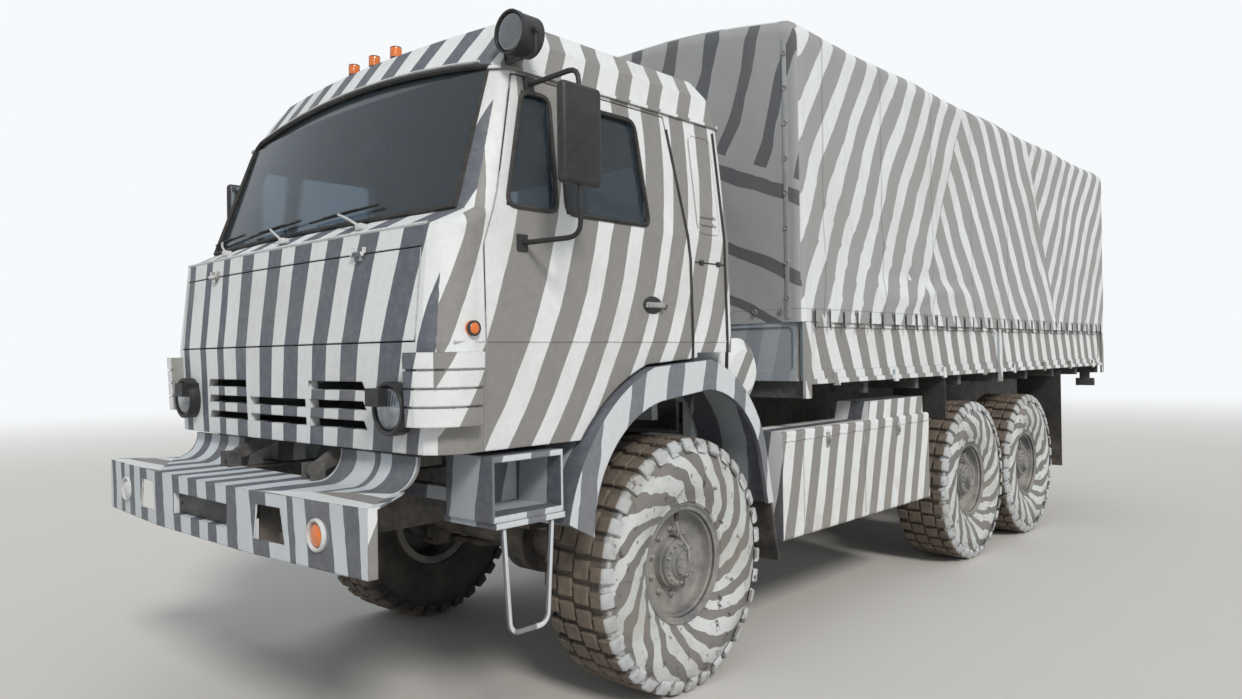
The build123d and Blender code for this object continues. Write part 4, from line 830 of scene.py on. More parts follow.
def canvasSection(look):
    # points round one cross section from the left hem over the top to the right hem, evenly spaced
    half, corner, top, r = look["halfWidth"], look["cornerZ"], look["topZ"], look["cornerRadius"]
    route = [(half, look["hemZ"]), (half, corner - r)]
    cornerSteps, topSteps = 8, 24
    for step in range(1, cornerSteps + 1):
        turn = math.radians(step * 90 / cornerSteps)
        route.append((half - r + r * math.cos(turn), corner - r + r * math.sin(turn)))
    for step in range(1, topSteps + 1):
        x = (half - r) * (1 - step / topSteps)
        route.append((x, top - (top - corner) * (x / (half - r)) ** 2))
    route += [(-x, z) for x, z in reversed(route[:-1])]
    lengths = [0.0]
    for before, after in zip(route, route[1:]):
        lengths.append(lengths[-1] + math.dist(before, after))
    points, index = [], 0
    for step in range(look["across"] + 1):
        goal = lengths[-1] * step / look["across"]
        while index < len(route) - 2 and lengths[index + 1] < goal:
            index += 1
        share = (goal - lengths[index]) / (lengths[index + 1] - lengths[index])
        points.append([a + (b - a) * share for a, b in zip(route[index], route[index + 1])])
    return points, lengths[-1]


def bowSag(y, bows):
    # 0 at a bow and 1 half way between two
    for before, after in zip(bows, bows[1:]):
        if before <= y <= after:
            share = (y - before) / (after - before)
            return math.sin(math.pi * share) ** 1.3
    return 0.0


def softStep(value, low, high):
    share = min(1.0, max(0.0, (value - low) / (high - low)))
    return share * share * (3 - 2 * share)


def canvasPush(x, y, z, look):
    # how far the cloth lies out from its smooth form at this place
    onSide = softStep(abs(x), 1.10, 1.22) * softStep(z, 3.60, 3.45)
    onTop = softStep(z, 3.52, 3.60)
    sag = bowSag(y, look["bows"])
    push = -sag * (look["sideSag"] * onSide * softStep(z, 1.9, 2.5) + look["topSag"] * onTop)
    nearHem = math.exp(-max(0.0, z - look["hemZ"]) / look["hemReach"])
    push += look["hemWave"] * nearHem * onSide * math.cos(2 * math.pi * y / look["hookPitch"])
    side = 1 if x > 0 else -1
    # folds that run up and forward from the hem, deeper low down and at the front
    lean = noise.noise(Vector((y * 2.6 + z * 1.9, z * 0.55 - y * 0.2, side * 3.0)))
    slack = 0.45 + 0.9 * nearHem + 1.3 * softStep(y, 1.0, -1.2) * softStep(z, 3.1, 2.1)
    push += look["fold"] * lean * onSide * slack
    # sharper creases where the cloth is gathered low down at the front
    crease = abs(noise.noise(Vector((y * 3.1 + z * 2.6, z * 0.8 - y * 0.5, side * 5.0))))
    gathered = softStep(y, 2.2, -0.8) * softStep(z, 3.2, 2.2)
    push += look["crease"] * max(0.0, 1 - crease * 4.5) ** 1.5 * onSide * gathered
    fine = noise.noise(Vector((y * 7.5 - z * 3.0, z * 2.2, side * 9.0)))
    push += look["fine"] * fine * (onSide + 0.6 * onTop)
    # the long fold that bulges over the hem in the second bay
    reach = softStep(y, -1.0, -0.5) * softStep(y, 1.1, 0.5)
    out, height, width = look["bulge"]
    push += out * reach * math.exp(-((z - height - 0.05 * math.sin(y * 4)) / width) ** 2) * onSide
    out, height, width = look["hollow"]
    push -= out * reach * math.exp(-((z - height) / width) ** 2) * onSide
    return push


def makeCanopy(look):
    section, girth = canvasSection(look)
    count = len(section)
    outward = []
    for index in range(count):
        before, after = section[max(0, index - 1)], section[min(count - 1, index + 1)]
        run = Vector((after[0] - before[0], after[1] - before[1])).normalized()
        outward.append((run[1], -run[0]))
    bend, edge, hem, frontY = look["frontBend"], look["bendShare"], look["hemZ"], look["frontY"]
    points = []
    for row in range(look["along"] + 1):
        y = look["rearY"] + (frontY + bend - look["rearY"]) * row / look["along"]
        for (x, z), (nx, nz) in zip(section, outward):
            push = canvasPush(x, y, z, look) * softStep(y, frontY, frontY + 0.1)
            points.append((x + nx * push, y, z + nz * push))
    # the sheet turns over a soft edge and closes the front
    for row in range(1, look["wallRows"] + 1):
        share = row / look["wallRows"]
        stay = 1 - max(0.0, share - edge) / (1 - edge)
        turn = min(1.0, share / edge) * math.pi / 2
        inward, back = bend * (1 - math.cos(turn)), bend * (1 - math.sin(turn))
        for (x, z), (nx, nz) in zip(section, outward):
            px, pz = (x - nx * inward) * stay, hem + (z - nz * inward - hem) * stay
            wave = noise.noise(Vector((px * 2.4 + pz * 1.2, pz * 0.9, 5.0)))
            wrinkle = (0.010 * wave + 0.006) * softStep(share - edge, 0.0, 0.15)
            points.append((px, frontY + back + wrinkle, pz))
    cover = addMesh("canvasCover", points, [], gridFaces(look["along"] + 1 + look["wallRows"], count))
    faceOut(cover, 0.0015)
    leftWall = Vector((1.25, 1.5, 2.8))
    nearest = min(cover.data.polygons, key=lambda face: (face.center - leftWall).length)
    if nearest.normal.x < 0:
        bpy.ops.object.mode_set(mode="EDIT")
        bpy.ops.mesh.select_all(action="SELECT")
        bpy.ops.mesh.flip_normals()
        bpy.ops.object.mode_set(mode="OBJECT")
    thicken(cover, look["thickness"])
    finishPiece(cover, "chassis", canvasCloth, ["canopy"])


# stripes on the cloth; a run of stripes is its lean, bend, pitch and dark share
clothLook = {
    "riseFrom": 2.0, "shift": 20.0, "wobble": 0.16,
    "foreRun": (0.42, 0.09, 0.295, 0.46), "middleRun": (-0.70, 0.0, 0.345, 0.38),
    "rearRun": (0.60, 0.06, 0.300, 0.46),
    # where the runs meet: height that the line starts at, its lean and its place along the side
    "middleFrom": (2.18, -0.563, -0.025), "rearFrom": (2.0, 0.4375, 2.90),
    "topLean": -0.35, "topEdgeX": 1.25, "topShift": 19.08, "topPitch": 0.295, "topShare": 0.46,
    "wallLean": 0.40, "wallShift": 19.973, "wallPitch": 0.335, "wallShare": 0.30,
    "wallFall": 0.42, "wallEnd": 3.18,
    # bands across the front wall: height and half width
    "wallBands": [(3.07, 0.045), (2.61, 0.042), (2.28, 0.03)],
    "grey": colour(0.335, 0.335, 0.335), "white": colour(0.72, 0.745, 0.75),
    "inside": colour(0.20, 0.205, 0.19),
    "wallGrey": colour(0.40, 0.405, 0.41), "wallDark": colour(0.14, 0.145, 0.155),
    "stainColour": colour(0.30, 0.28, 0.24), "streakColour": colour(0.26, 0.25, 0.23),
    # dark colour for the sewn seams and for the hem line, which is stitching and a painted shadow line
    "seamAndShadowColour": colour(0.10, 0.10, 0.10), "panel": 0.7825, "seamHalf": 0.010,
    "hemZ": 1.915, "hemHalf": 0.003, "threads": 1300.0,
}


def makeCanvasCloth(look):
    # grey canvas with white stripes that lean three ways along the side, as the photo shows
    nodes = Nodes("canvasCloth")
    x, y, z = nodes.split()
    facing = nodes.facing()
    wobble = nodes.times(nodes.minus(nodes.noise(1.5, 3.0, 0.5), 0.5), look["wobble"])
    rise = nodes.minus(z, look["riseFrom"])
    square = nodes.times(rise, rise)

    def sideRun(lean, bend, pitch, share):
        place = nodes.minus(nodes.minus(y, nodes.times(rise, lean)), nodes.times(square, bend))
        return nodes.stripe(nodes.plus(nodes.plus(place, wobble), look["shift"]), pitch, share)

    def behind(height, lean, place):
        return nodes.above(nodes.plus(y, nodes.times(nodes.minus(z, height), lean)), place)

    side = nodes.mix(behind(*look["middleFrom"]), sideRun(*look["foreRun"]), sideRun(*look["middleRun"]))
    side = nodes.mix(behind(*look["rearFrom"]), side, sideRun(*look["rearRun"]))
    # over the top the stripes run on from the left side's upper edge
    over = nodes.plus(y, nodes.times(nodes.minus(x, look["topEdgeX"]), look["topLean"]))
    over = nodes.plus(nodes.plus(over, wobble), look["topShift"])
    top = nodes.stripe(over, look["topPitch"], look["topShare"])
    # on the front wall the slanting stripes end half way down, and wavy bands cross below them
    front = nodes.plus(nodes.minus(x, nodes.times(z, look["wallLean"])), nodes.times(wobble, 1.5))
    ahead = nodes.stripe(nodes.plus(front, look["wallShift"]), look["wallPitch"], look["wallShare"])
    fall = nodes.plus(nodes.plus(z, nodes.times(x, look["wallFall"])), nodes.times(wobble, 0.9))
    ahead = nodes.times(ahead, nodes.above(fall, look["wallEnd"]))
    for middle, half in look["wallBands"]:
        ahead = nodes.either(ahead, nodes.below(nodes.size(nodes.minus(fall, middle)), half))
    base = nodes.mix(nodes.mix(nodes.above(facing[2], 0.72), side, top), look["grey"], look["white"])
    wallPaint = nodes.mix(ahead, look["wallGrey"], look["wallDark"])
    base = nodes.mix(nodes.above(nodes.size(facing[1]), 0.8), base, wallPaint)
    # the cloth is plain on its inner side
    inner = nodes.either(nodes.below(nodes.times(x, facing[0]), -0.15), nodes.below(facing[2], -0.3))
    inner = nodes.either(inner, nodes.above(facing[1], 0.5))
    base = nodes.mix(inner, base, look["inside"])
    stain = nodes.spread(nodes.noise(0.9, 7.0, 0.62), 0.40, 0.72)
    base = nodes.mix(nodes.times(stain, 0.22), base, look["stainColour"])
    streak = nodes.spread(nodes.noise(3.0, 5.0, 0.6, nodes.moved(scale=(6, 6, 0.7))), 0.50, 0.80)
    base = nodes.mix(nodes.times(streak, 0.18), base, look["streakColour"])
    # sewn seams every panel width, and a dark line along the doubled hem: its stitching and a painted shadow
    # line under the hem
    panels = nodes.maths("FRACT", nodes.maths("DIVIDE", nodes.plus(y, 5.0), look["panel"]))
    seam = nodes.below(nodes.size(nodes.minus(panels, 0.5)), look["seamHalf"])
    hem = nodes.below(nodes.size(nodes.minus(z, look["hemZ"])), look["hemHalf"])
    line = nodes.either(seam, hem)
    nodes.give("Base Color", nodes.mix(nodes.times(line, 0.35), base, look["seamAndShadowColour"]))
    nodes.give("Roughness", 0.86)
    nodes.give("Specular IOR Level", 0.25)
    weave = [nodes.maths("SINE", nodes.times(way, look["threads"])) for way in (y, z)]
    height = nodes.plus(nodes.times(nodes.plus(*weave), 0.06), nodes.times(nodes.noise(9.0, 5.0, 0.6), 1.6))
    nodes.bump(nodes.plus(height, nodes.times(line, 0.8)), 0.45, 0.004)
    return nodes.material


canvasCloth = makeCanvasCloth(clothLook)
makeCanopy(canvasLook)
print("canvas cover made")


# Cab trim

# plan of the cab's outer face at some heights: z, half width, corner x, front y, corner y
cabPlan = [
    (1.290, 1.190, 1.100, -4.290, -4.270), (1.720, 1.210, 1.115, -4.310, -4.285),
    (2.175, 1.200, 1.105, -4.280, -4.240), (2.245, 1.200, 1.090, -4.160, -4.100),
    (2.860, 1.125, 1.020, -3.970, -3.895), (3.003, 1.095, 0.970, -3.880, -3.810),
    (3.113, 1.010, 0.875, -3.810, -3.745),
]


def planAt(z):
    # half width, corner x, front y and corner y at one height
    for low, high in zip(cabPlan, cabPlan[1:]):
        if z <= high[0]:
            break
    share = (z - low[0]) / (high[0] - low[0])
    return [a + (b - a) * share for a, b in zip(low[1:], high[1:])]


def cabFrontY(x, z):
    # how far forward the cab's bowed face lies
    cornerX, front, corner = planAt(z)[1:]
    y = front + (corner - front) * (x / cornerX) ** 2
    return y + max(0.0, abs(x) - cornerX) * 0.5


def cabSideX(z):
    return planAt(z)[0]


trimLook = {
    "screenLow": 2.255, "screenHigh": 2.87, "screenCrown": 0.08, "screenWide": 1.09, "screenNarrow": 1.045,
    "sealRadius": 0.013, "paneSealRadius": 0.011, "beadZ": 2.176, "beadHalf": 1.10, "beadRadius": 0.008,
    "gutterGrow": 0.022, "gutterRadius": 0.007, "rearCorner": 0.06, "doorCorner": 0.05,
    "doorWindows": [[(-3.59, 2.267), (-3.57, 2.768), (-3.08, 2.768), (-3.045, 2.267)],
                    [(-3.925, 2.267), (-3.785, 2.768), (-3.63, 2.768), (-3.645, 2.267)]],
    "rearPane": (0.12, 0.82, 2.33, 2.76), "rearWallY": -2.372,
}


def alongEdge(start, end, steps):
    # even points from start up to, but without, end
    return [tuple(a + (b - a) * step / steps for a, b in zip(start, end)) for step in range(steps)]


def screenRoute(look, grow, out):
    # points round the windscreen's edge on the cab's curved face
    low, high, crown = look["screenLow"] - grow, look["screenHigh"] + grow, look["screenCrown"]
    wide, narrow = look["screenWide"] + grow, look["screenNarrow"] + grow
    flat = alongEdge((-wide, low), (wide, low), 24) + alongEdge((wide, low), (narrow, high), 10)
    for step in range(24):
        x = narrow * (1 - step / 12)
        flat.append((x, high + crown * (1 - (x / narrow) ** 2)))
    flat += alongEdge((-narrow, high), (-wide, low), 10)
    return [(x, cabFrontY(x, z) - out, z) for x, z in flat]


def makeSeals(look):
    # rubber round the windscreen, the rear panes and the door windows
    screen = addRod("screenSeal", screenRoute(look, 0.0, 0.002), look["sealRadius"], closed=True)
    pieces = [screen]
    inner, outer, low, high = look["rearPane"]
    y, thick = look["rearWallY"], look["paneSealRadius"]
    for side in (-1, 1):
        near, far = side * inner, side * outer
        corners = [(near, y, low), (far, y, low), (far, y, high), (near, y, high)]
        pieces.append(addRod("rearSeal", roundLoop(corners, look["rearCorner"]), thick, closed=True))
    finishPiece(joinAll("windowSeals", pieces), "cab", blackRubber)
    doors = []
    for outline in look["doorWindows"]:
        route = roundLoop([(cabSideX(z) + 0.001, y, z) for y, z in outline], look["doorCorner"])
        doors.append(addRod("doorSeal", route, thick, closed=True))
    left = joinAll("doorSealsLeft", doors)
    right = otherSide(left, "doorSealsRight")
    finishPiece(left, "door_left", blackRubber)
    finishPiece(right, "door_right", blackRubber)


def makeCowl(look):
    # the rounded bead under the windscreen and the gutter over it
    z, half, steps, grow = look["beadZ"], look["beadHalf"], 36, look["gutterGrow"]
    places = [-half + 2 * half * step / steps for step in range(steps + 1)]
    bead = addRod("cowlBead", [(x, cabFrontY(x, z) + 0.002, z) for x in places], look["beadRadius"])
    route = [(x, y, z) for x, y, z in screenRoute(look, grow, 0.004) if z > look["screenHigh"] + grow]
    gutter = addRod("screenGutter", route, look["gutterRadius"])
    finishPiece(joinAll("cowlTrim", [bead, gutter]), "cab", plainWhite)


wiperLook = {"pivots": (-0.66, -0.02, 0.62), "pivotZ": 2.205, "reach": 0.30, "rise": 0.10,
             "blade": 0.27, "bladeRise": 0.012, "armRadius": 0.006, "yokeRadius": 0.004}


def makeWipers(look):
    arms, blades = [], []
    for x in look["pivots"]:
        z = look["pivotZ"]
        y = cabFrontY(x, z)
        arms.append(addRound("wiperPivot", 0.016, 0.03, (x, y - 0.008, z + 0.006), "Y", 16, 0.003))
        endX, endZ = x - look["reach"], z + look["rise"]
        endY = cabFrontY(endX, endZ) - 0.022
        middle = ((x + endX) / 2, (y + endY) / 2 - 0.022, (z + endZ) / 2 + 0.012)
        bend = [(x, y - 0.02, z + 0.008), middle, (endX, endY, endZ)]
        arms.append(addRod("wiperArm", bend, look["armRadius"], 0.05))
        arms.append(addBox("wiperFoot", (x - 0.03, y - 0.028, z - 0.006),
                           (x + 0.014, y - 0.012, z + 0.022), 0.004))
        half, steps = look["blade"], 8
        route = []
        for step in range(steps + 1):
            bladeX = endX - half + 2 * half * step / steps
            bladeZ = endZ + 0.004 + look["bladeRise"] * (step - steps / 2) / (steps / 2)
            route.append((bladeX, cabFrontY(bladeX, bladeZ) - look["armRadius"], bladeZ))
        blades.append(addRod("wiperBlade", route, look["armRadius"]))
        yoke = [(px, py - 0.014, pz) for px, py, pz in route[2:7]]
        blades.append(addRod("wiperYoke", yoke, look["yokeRadius"]))
    finishPiece(joinAll("wiperArms", arms), "cab", plainWhite)
    finishPiece(joinAll("wiperBlades", blades), "cab", blackRubber)


def roundLoop(corners, radius):
    # a closed route with its corners rounded
    looped = [corners[-1], *corners, corners[0]]
    route = roundCorners(looped, radius)[1:-1]
    return [tuple(point) for point in route]


makeSeals(trimLook)
makeCowl(trimLook)
makeWipers(wiperLook)
print("seals and wipers made")


# Lamps

lampLook = {
    # a lamp is its place and its lens's radius and bulge
    "head": (0.96, -4.322, 1.465, 0.0865, 0.022), "bumper": (0.935, -4.618, 1.024, 0.044, 0.016),
    "corner": (1.233, -4.12, 1.77, 0.031, 0.024), "search": (1.19, -3.885, 2.973, 0.076, 0.012),
    "lensEdge": -0.012, "roofX": (-0.19, 0.0, 0.19), "roofY": -3.76, "roofZ": 3.125,
    "roofRadius": 0.0285, "roofHigh": 0.062,
    # rings round the lenses: distance along the lamp's axis and radius
    "bezel": [(0.010, 0.0865), (0.016, 0.092), (0.016, 0.101), (0.006, 0.1055), (-0.03, 0.1055),
              (-0.03, 0.0865), (0.010, 0.0865)],
    "bumperRing": [(0.0, 0.047), (-0.012, 0.050), (-0.014, 0.057), (-0.008, 0.0615), (0.012, 0.0615),
                   (0.012, 0.047), (0.0, 0.047)],
    "hoop": [(0.0, 0.078), (-0.010, 0.082), (-0.012, 0.089), (0.014, 0.0885), (0.014, 0.078), (0.0, 0.078)],
    "forkHalf": 0.094, "forkBack": 0.05, "forkDrop": 0.10, "forkRadius": 0.006,
    # rear lamps: inner and outer side, face, foot and top
    "rear": (1.0, 1.18, 4.512, 1.25, 1.33),
}


def makeLensPaint(name, tone):
    # moulded glass or plastic with fine ribs and a little grime
    nodes = Nodes(name)
    place = nodes.split()
    grime = nodes.spread(nodes.noise(30.0, 4.0, 0.6), 0.35, 0.8)
    nodes.give("Base Color", nodes.mix(nodes.times(grime, 0.3), tone, colour(0.2, 0.18, 0.16)))
    for socket, value in (("Roughness", 0.18), ("Coat Weight", 0.6), ("Subsurface Weight", 0.25),
                          ("Subsurface Radius", (0.02, 0.01, 0.005))):
        nodes.give(socket, value)
    nodes.bump(nodes.maths("SINE", nodes.times(nodes.plus(place[0], place[2]), 900.0)), 0.25, 0.002)
    return nodes.material


def makeHeadGlass():
    nodes = Nodes("headlampGlass")
    patch = nodes.spread(nodes.noise(14.0, 3.0, 0.6), 0.3, 0.7)
    nodes.give("Base Color", nodes.mix(patch, colour(0.10, 0.115, 0.13), colour(0.30, 0.33, 0.36)))
    for name, value in (("Metallic", 0.75), ("Roughness", 0.16), ("Coat Weight", 1.0)):
        nodes.give(name, value)
    nodes.bump(nodes.maths("SINE", nodes.times(nodes.split()[0], 420.0)), 0.35, 0.003)
    return nodes.material


def makeSearchGlass():
    nodes = Nodes("searchGlass")
    patch = nodes.noise(20.0, 3.0, 0.5)
    nodes.give("Base Color", nodes.mix(patch, colour(0.10, 0.11, 0.12), colour(0.2, 0.21, 0.22)))
    for name, value in (("Metallic", 0.6), ("Roughness", 0.12), ("Coat Weight", 1.0)):
        nodes.give(name, value)
    return nodes.material


def addDome(name, centre, radius, height, along="Y"):
    # a lens that bulges towards -Y or +X, with an edge that stands back
    back = lampLook["lensEdge"]
    arc = [math.radians(t) for t in range(0, 91, 15)]
    profile = [(height * math.cos(t), radius * math.sin(t)) for t in arc] + [(back, radius), (back, 0.0)]
    dome = latheAround(name, profile, 32)
    if along == "Y":
        dome = turned(dome, ("Z", -math.pi / 2))
    return moved(dome, centre)


def addRing(name, profile, steps, turn, centre):
    # a lathed ring, turned about Z to face along Y
    ring = latheAround(name, profile, steps)
    return moved(turned(ring, ("Z", turn)), centre)


def makeLamps(look):
    quarter = math.pi / 2
    *place, radius, bulge = look["head"]
    lenses = bothSides("headlampLenses", addDome("headLens", place, radius, bulge))
    finishPiece(lenses, "cab", makeHeadGlass())
    bezels = bothSides("headlampBezels", addRing("headBezel", look["bezel"], 40, -quarter, place))
    finishPiece(bezels, "cab", blackPlastic)
    x, y, z, radius, bulge = look["bumper"]
    ring = addRing("lampRing", look["bumperRing"], 36, quarter, (x, y + 0.002, z))
    finishPiece(bothSides("bumperLampRings", ring), "chassis", plainWhite)
    for name, lensX, paint in (("bumperLensLeft", x, orangeLens), ("bumperLensRight", -x, clearLens)):
        lens = addDome(name, (lensX, y + 0.003, z), radius, bulge)
        finishPiece(lens, "chassis", paint)
    x, y, z, radius, bulge = look["corner"]
    orange = [bothSides("cornerLenses", addDome("cornerLens", (x - 0.018, y, z), radius, bulge, "X"))]
    for lampX in look["roofX"]:
        place = (lampX, look["roofY"], look["roofZ"] + look["roofHigh"] / 2)
        orange.append(addRound("roofLens", look["roofRadius"], look["roofHigh"], place, "Z", 24, 0.009))
    finishPiece(joinAll("orangeLamps", orange), "cab", orangeLens)
    x, y, z, radius, bulge = look["search"]
    lens = addDome("searchLens", (x, y - 0.002, z), radius, bulge)
    finishPiece(lens, "cab", makeSearchGlass())
    hoop = addRing("searchHoop", look["hoop"], 36, quarter, (x, y, z))
    left, right, back = x - look["forkHalf"], x + look["forkHalf"], y + look["forkBack"]
    foot = z - look["forkDrop"]
    fork = addRod("searchFork", [(left, back, z), (left, back, foot), (right, back, foot), (right, back, z)],
                  look["forkRadius"], 0.03)
    knobs = [addRound("searchKnob", 0.014, 0.03, (knobX, back, z), "X", 12, 0.003) for knobX in (left, right)]
    finishPiece(joinAll("searchlightRim", [hoop, fork, *knobs]), "cab", blackPlastic)
    inner, outer, y, low, high = look["rear"]
    lenses = []
    for start, end in ((inner + 0.006, inner + 0.084), (inner + 0.092, outer - 0.006)):
        lenses.append(addBox("rearLens", (start, y - 0.004, low + 0.006), (end, y + 0.008, high - 0.006),
                             0.004))
    red = bothSides("rearLampLenses", joinAll("rearLenses", lenses))
    finishPiece(red, "chassis", redLens)


orangeLens = makeLensPaint("orangeLens", colour(0.80, 0.19, 0.02))
clearLens = makeLensPaint("clearLens", colour(0.62, 0.63, 0.64))
redLens = makeLensPaint("redLens", colour(0.45, 0.02, 0.015))
makeLamps(lampLook)
print("lamps made")


# Door furniture, blank plate and rear latches

panelLook = {
    "handle": (-3.04, 1.8925), "dish": (0.068, 0.042),
    "grip": [(0.022, -0.062, -0.014), (0.034, 0.062, 0.012)],
    "doorRear": [(-2.738, 1.36), (-2.738, 2.13), (-2.848, 2.83)], "doorRubber": 0.0085,
    # side vent: front, rear, foot and top
    "vent": (-2.665, -2.475, 2.27, 2.78), "slats": 2, "slatPitch": 0.04,
    "hatchZ": 2.12, "hatchFront": -2.70, "hatchClipY": -2.65, "quarterFoot": 1.46, "quarterHigh": 1.36,
    "plate": (0.262, 0.044, -4.6295), "plateZ": 1.024, "screwX": 0.23, "latch": (1.205, 4.633, 2.06),
    # long box: outer face, front, rear, foot and top
    "box": (1.21, -1.92, 0.04, 0.60, 1.205), "boxLatchIn": 0.5,
    # one crease: name, left body, right body, start and end along Y
    "creases": [("cornerCrease", "cab", "cab", -4.20, -4.058),
                ("doorCrease", "door_left", "door_right", -4.042, -2.748),
                ("quarterCrease", "cab", "cab", -2.732, -2.43)], "creaseZ": 1.72,
}


def sideAt(name, y, z):
    # where a level line from the left meets the CAD node's outer face
    outside, inward, innermost = 3, Vector((-1, 0, 0)), 0.9
    found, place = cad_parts[name].ray_cast(Vector((outside, y, z)), inward)[:2]
    return place[0] if found and place[0] > innermost else cabSideX(z)


def makeDoorFurniture(look):
    # the handle over its round dish, and the rubber down the door's rear edge
    y, z = look["handle"]
    long, high = look["dish"]
    x = cabSideX(z)
    dish = addRound("handleDish", high, 0.014, (x - 0.002, y, z), "X", 40, 0.004)
    for vertex in dish.data.vertices:
        vertex.co.y = y + (vertex.co.y - y) * long / high
    knob = addRound("lockKnob", 0.011, 0.016, (x + 0.006, y + 0.085, z - 0.004), "X", 16, 0.002)
    dishes = joinAll("handleDishLeft", [dish, knob])
    route = []
    for start, end in zip(look["doorRear"], look["doorRear"][1:]):
        for rowY, rowZ in alongEdge(start, end, 12):
            route.append((sideAt("door_left", rowY - 0.012, rowZ), rowY, rowZ))
    strip = addRod("doorRubberLeft", route, look["doorRubber"])
    low, high = look["grip"]
    grip = addBox("handleGripLeft", (x + low[0], y + low[1], z + low[2]),
                  (x + high[0], y + high[1], z + high[2]), 0.005, 3)
    for item, material, slot in ((dishes, blackPlastic, "black_plastic"), (strip, blackRubber, "flap_rubber"),
                                 (grip, steelMetal, "wheel_paint")):
        right = otherSide(item, item.name.replace("Left", "Right"))
        finishPiece(item, "door_left", material)
        finishPiece(right, "door_right", material)


def makeVents(look):
    # a framed vent high on the cab's rear quarter
    front, rear, low, high = look["vent"]
    outline = ((front, low), (front, high), (rear, high), (rear, low))
    corners = [(cabSideX(z) - 0.002, y, z) for y, z in outline]
    slats = [addRod("ventFrame", roundLoop(corners, 0.05), 0.006, closed=True)]
    for index in range(look["slats"]):
        z = low + 0.05 + look["slatPitch"] * index
        x = cabSideX(z)
        slats.append(addBox("ventSlat", (x - 0.004, front + 0.03, z - 0.007),
                            (x + 0.008, rear - 0.03, z + 0.007), 0.003))
    vents = bothSides("quarterVents", joinAll("ventSlatsLeft", slats))
    finishPiece(vents, "cab", cabPaint)


def makeHatches(look):
    # the line of a hatch with two clips, and the rubber down the cab's rear edge
    z = look["hatchZ"]
    x = sideAt("cab_quarters", -2.6, z)
    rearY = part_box("cab_quarters")[1][1] - 0.012
    pieces = [addRod("hatchLine", [(x, look["hatchFront"], z), (x, rearY, z)], 0.004)]
    foot, high, steps = look["quarterFoot"], look["quarterHigh"], 24
    heights = [foot + high * step / steps for step in range(steps + 1)]
    edge = [(sideAt("cab_quarters", rearY - 0.012, edgeZ), rearY, edgeZ) for edgeZ in heights]
    pieces.append(addRod("quarterEdge", edge, 0.009))
    for clipY in (look["hatchClipY"], rearY - 0.06):
        pieces.append(addBox("hatchClip", (x - 0.003, clipY - 0.016, z - 0.012),
                             (x + 0.009, clipY + 0.016, z + 0.012), 0.003))
    hatches = bothSides("quarterHatches", joinAll("hatchLeft", pieces))
    finishPiece(hatches, "cab", blackPlastic)


def makePlateAndLatches(look):
    half, rise, y = look["plate"]
    z, screwX = look["plateZ"], look["screwX"]
    plate = addBox("blankPlate", (-half, y, z - rise), (half, y + 0.003, z + rise), 0.001)
    places = [(x, y - 0.001, z) for x in (-screwX, screwX)]
    screws = [addRound("plateScrew", 0.006, 0.004, place, "Y", 10, 0.001) for place in places]
    finishPiece(joinAll("frontPlate", [plate, *screws]), "chassis", blackPlastic)
    x, y, z = look["latch"]
    body = addBox("latchBody", (x - 0.022, y - 0.004, z - 0.05), (x + 0.022, y + 0.009, z + 0.05), 0.004)
    route = [(x, y + 0.01, z - 0.03), (x, y + 0.011, z - 0.12), (x - 0.02, y + 0.011, z - 0.135)]
    lever = addRod("latchLever", route, 0.006, 0.02)
    latches = bothSides("tailgateLatches", joinAll("latchLeft", [body, lever]))
    finishPiece(latches, "chassis", steelMetal)


def makeCreases(look):
    # the pressed line round the cab at its widest, in one run per body
    z = look["creaseZ"]
    x = cabSideX(z) - 0.001
    for name, body, otherBody, start, end in look["creases"]:
        left = addRod(f"{name}Left", [(x, start, z), (x, end, z)], 0.0045)
        right = otherSide(left, f"{name}Right")
        finishPiece(left, body, cabPaint)
        finishPiece(right, otherBody, cabPaint)


def makeBoxTrim(look):
    # seams, a lid edge and latches on the long box behind the front wheel
    x, front, rear, low, high = look["box"]
    seams = []
    for y in (front + 0.22, (front + rear) / 2):
        seams.append(addRod("boxSeam", [(x, y, low + 0.02), (x, y, high - 0.02)], 0.004))
    seams.append(addBox("boxLid", (x - 0.004, front, high - 0.055), (x + 0.005, rear, high - 0.047), 0.002))
    finishPiece(joinAll("boxSeams", seams), "chassis", boxPaint)
    latches = []
    for y in (front + look["boxLatchIn"], rear - look["boxLatchIn"]):
        latches.append(addBox("boxLatch", (x - 0.002, y - 0.018, high - 0.12),
                              (x + 0.010, y + 0.018, high - 0.03), 0.003))
        before, after, near, far = y - 0.012, y + 0.012, x + 0.010, x + 0.016
        loop = [(near, before, high - 0.055), (far, before, high - 0.10), (far, after, high - 0.10),
                (near, after, high - 0.055)]
        latches.append(addRod("latchLoop", loop, 0.003, 0.01))
    finishPiece(joinAll("boxLatches", latches), "chassis", steelMetal)


makeDoorFurniture(panelLook)
makeVents(panelLook)
makeHatches(panelLook)
makePlateAndLatches(panelLook)
makeCreases(panelLook)
makeBoxTrim(panelLook)
print("door furniture, plate and latches made")


# Mirrors

mirrorLook = {
    "tubeX": 1.45, "tubeY": -3.76, "low": 2.13, "high": 2.80, "radius": 0.011, "corner": 0.06,
    "caseLow": 2.33, "caseHigh": 2.73, "caseHalf": 0.11, "caseDeep": 0.025, "glassEdge": 0.014,
    "footBack": 0.09, "footDrop": 0.01, "headAhead": 0.018, "clampIn": 0.07,
    # the mirror inside: its place, its half sizes, and the stalk that it hangs from
    "insidePlace": (0.05, -3.80, 2.70), "insideHalves": (0.14, 0.016, 0.055),
    "stalk": [(0.05, -3.80, 2.72), (0.05, -3.79, 2.83), (0.05, -3.74, 2.94)], "stalkRadius": 0.006,
}


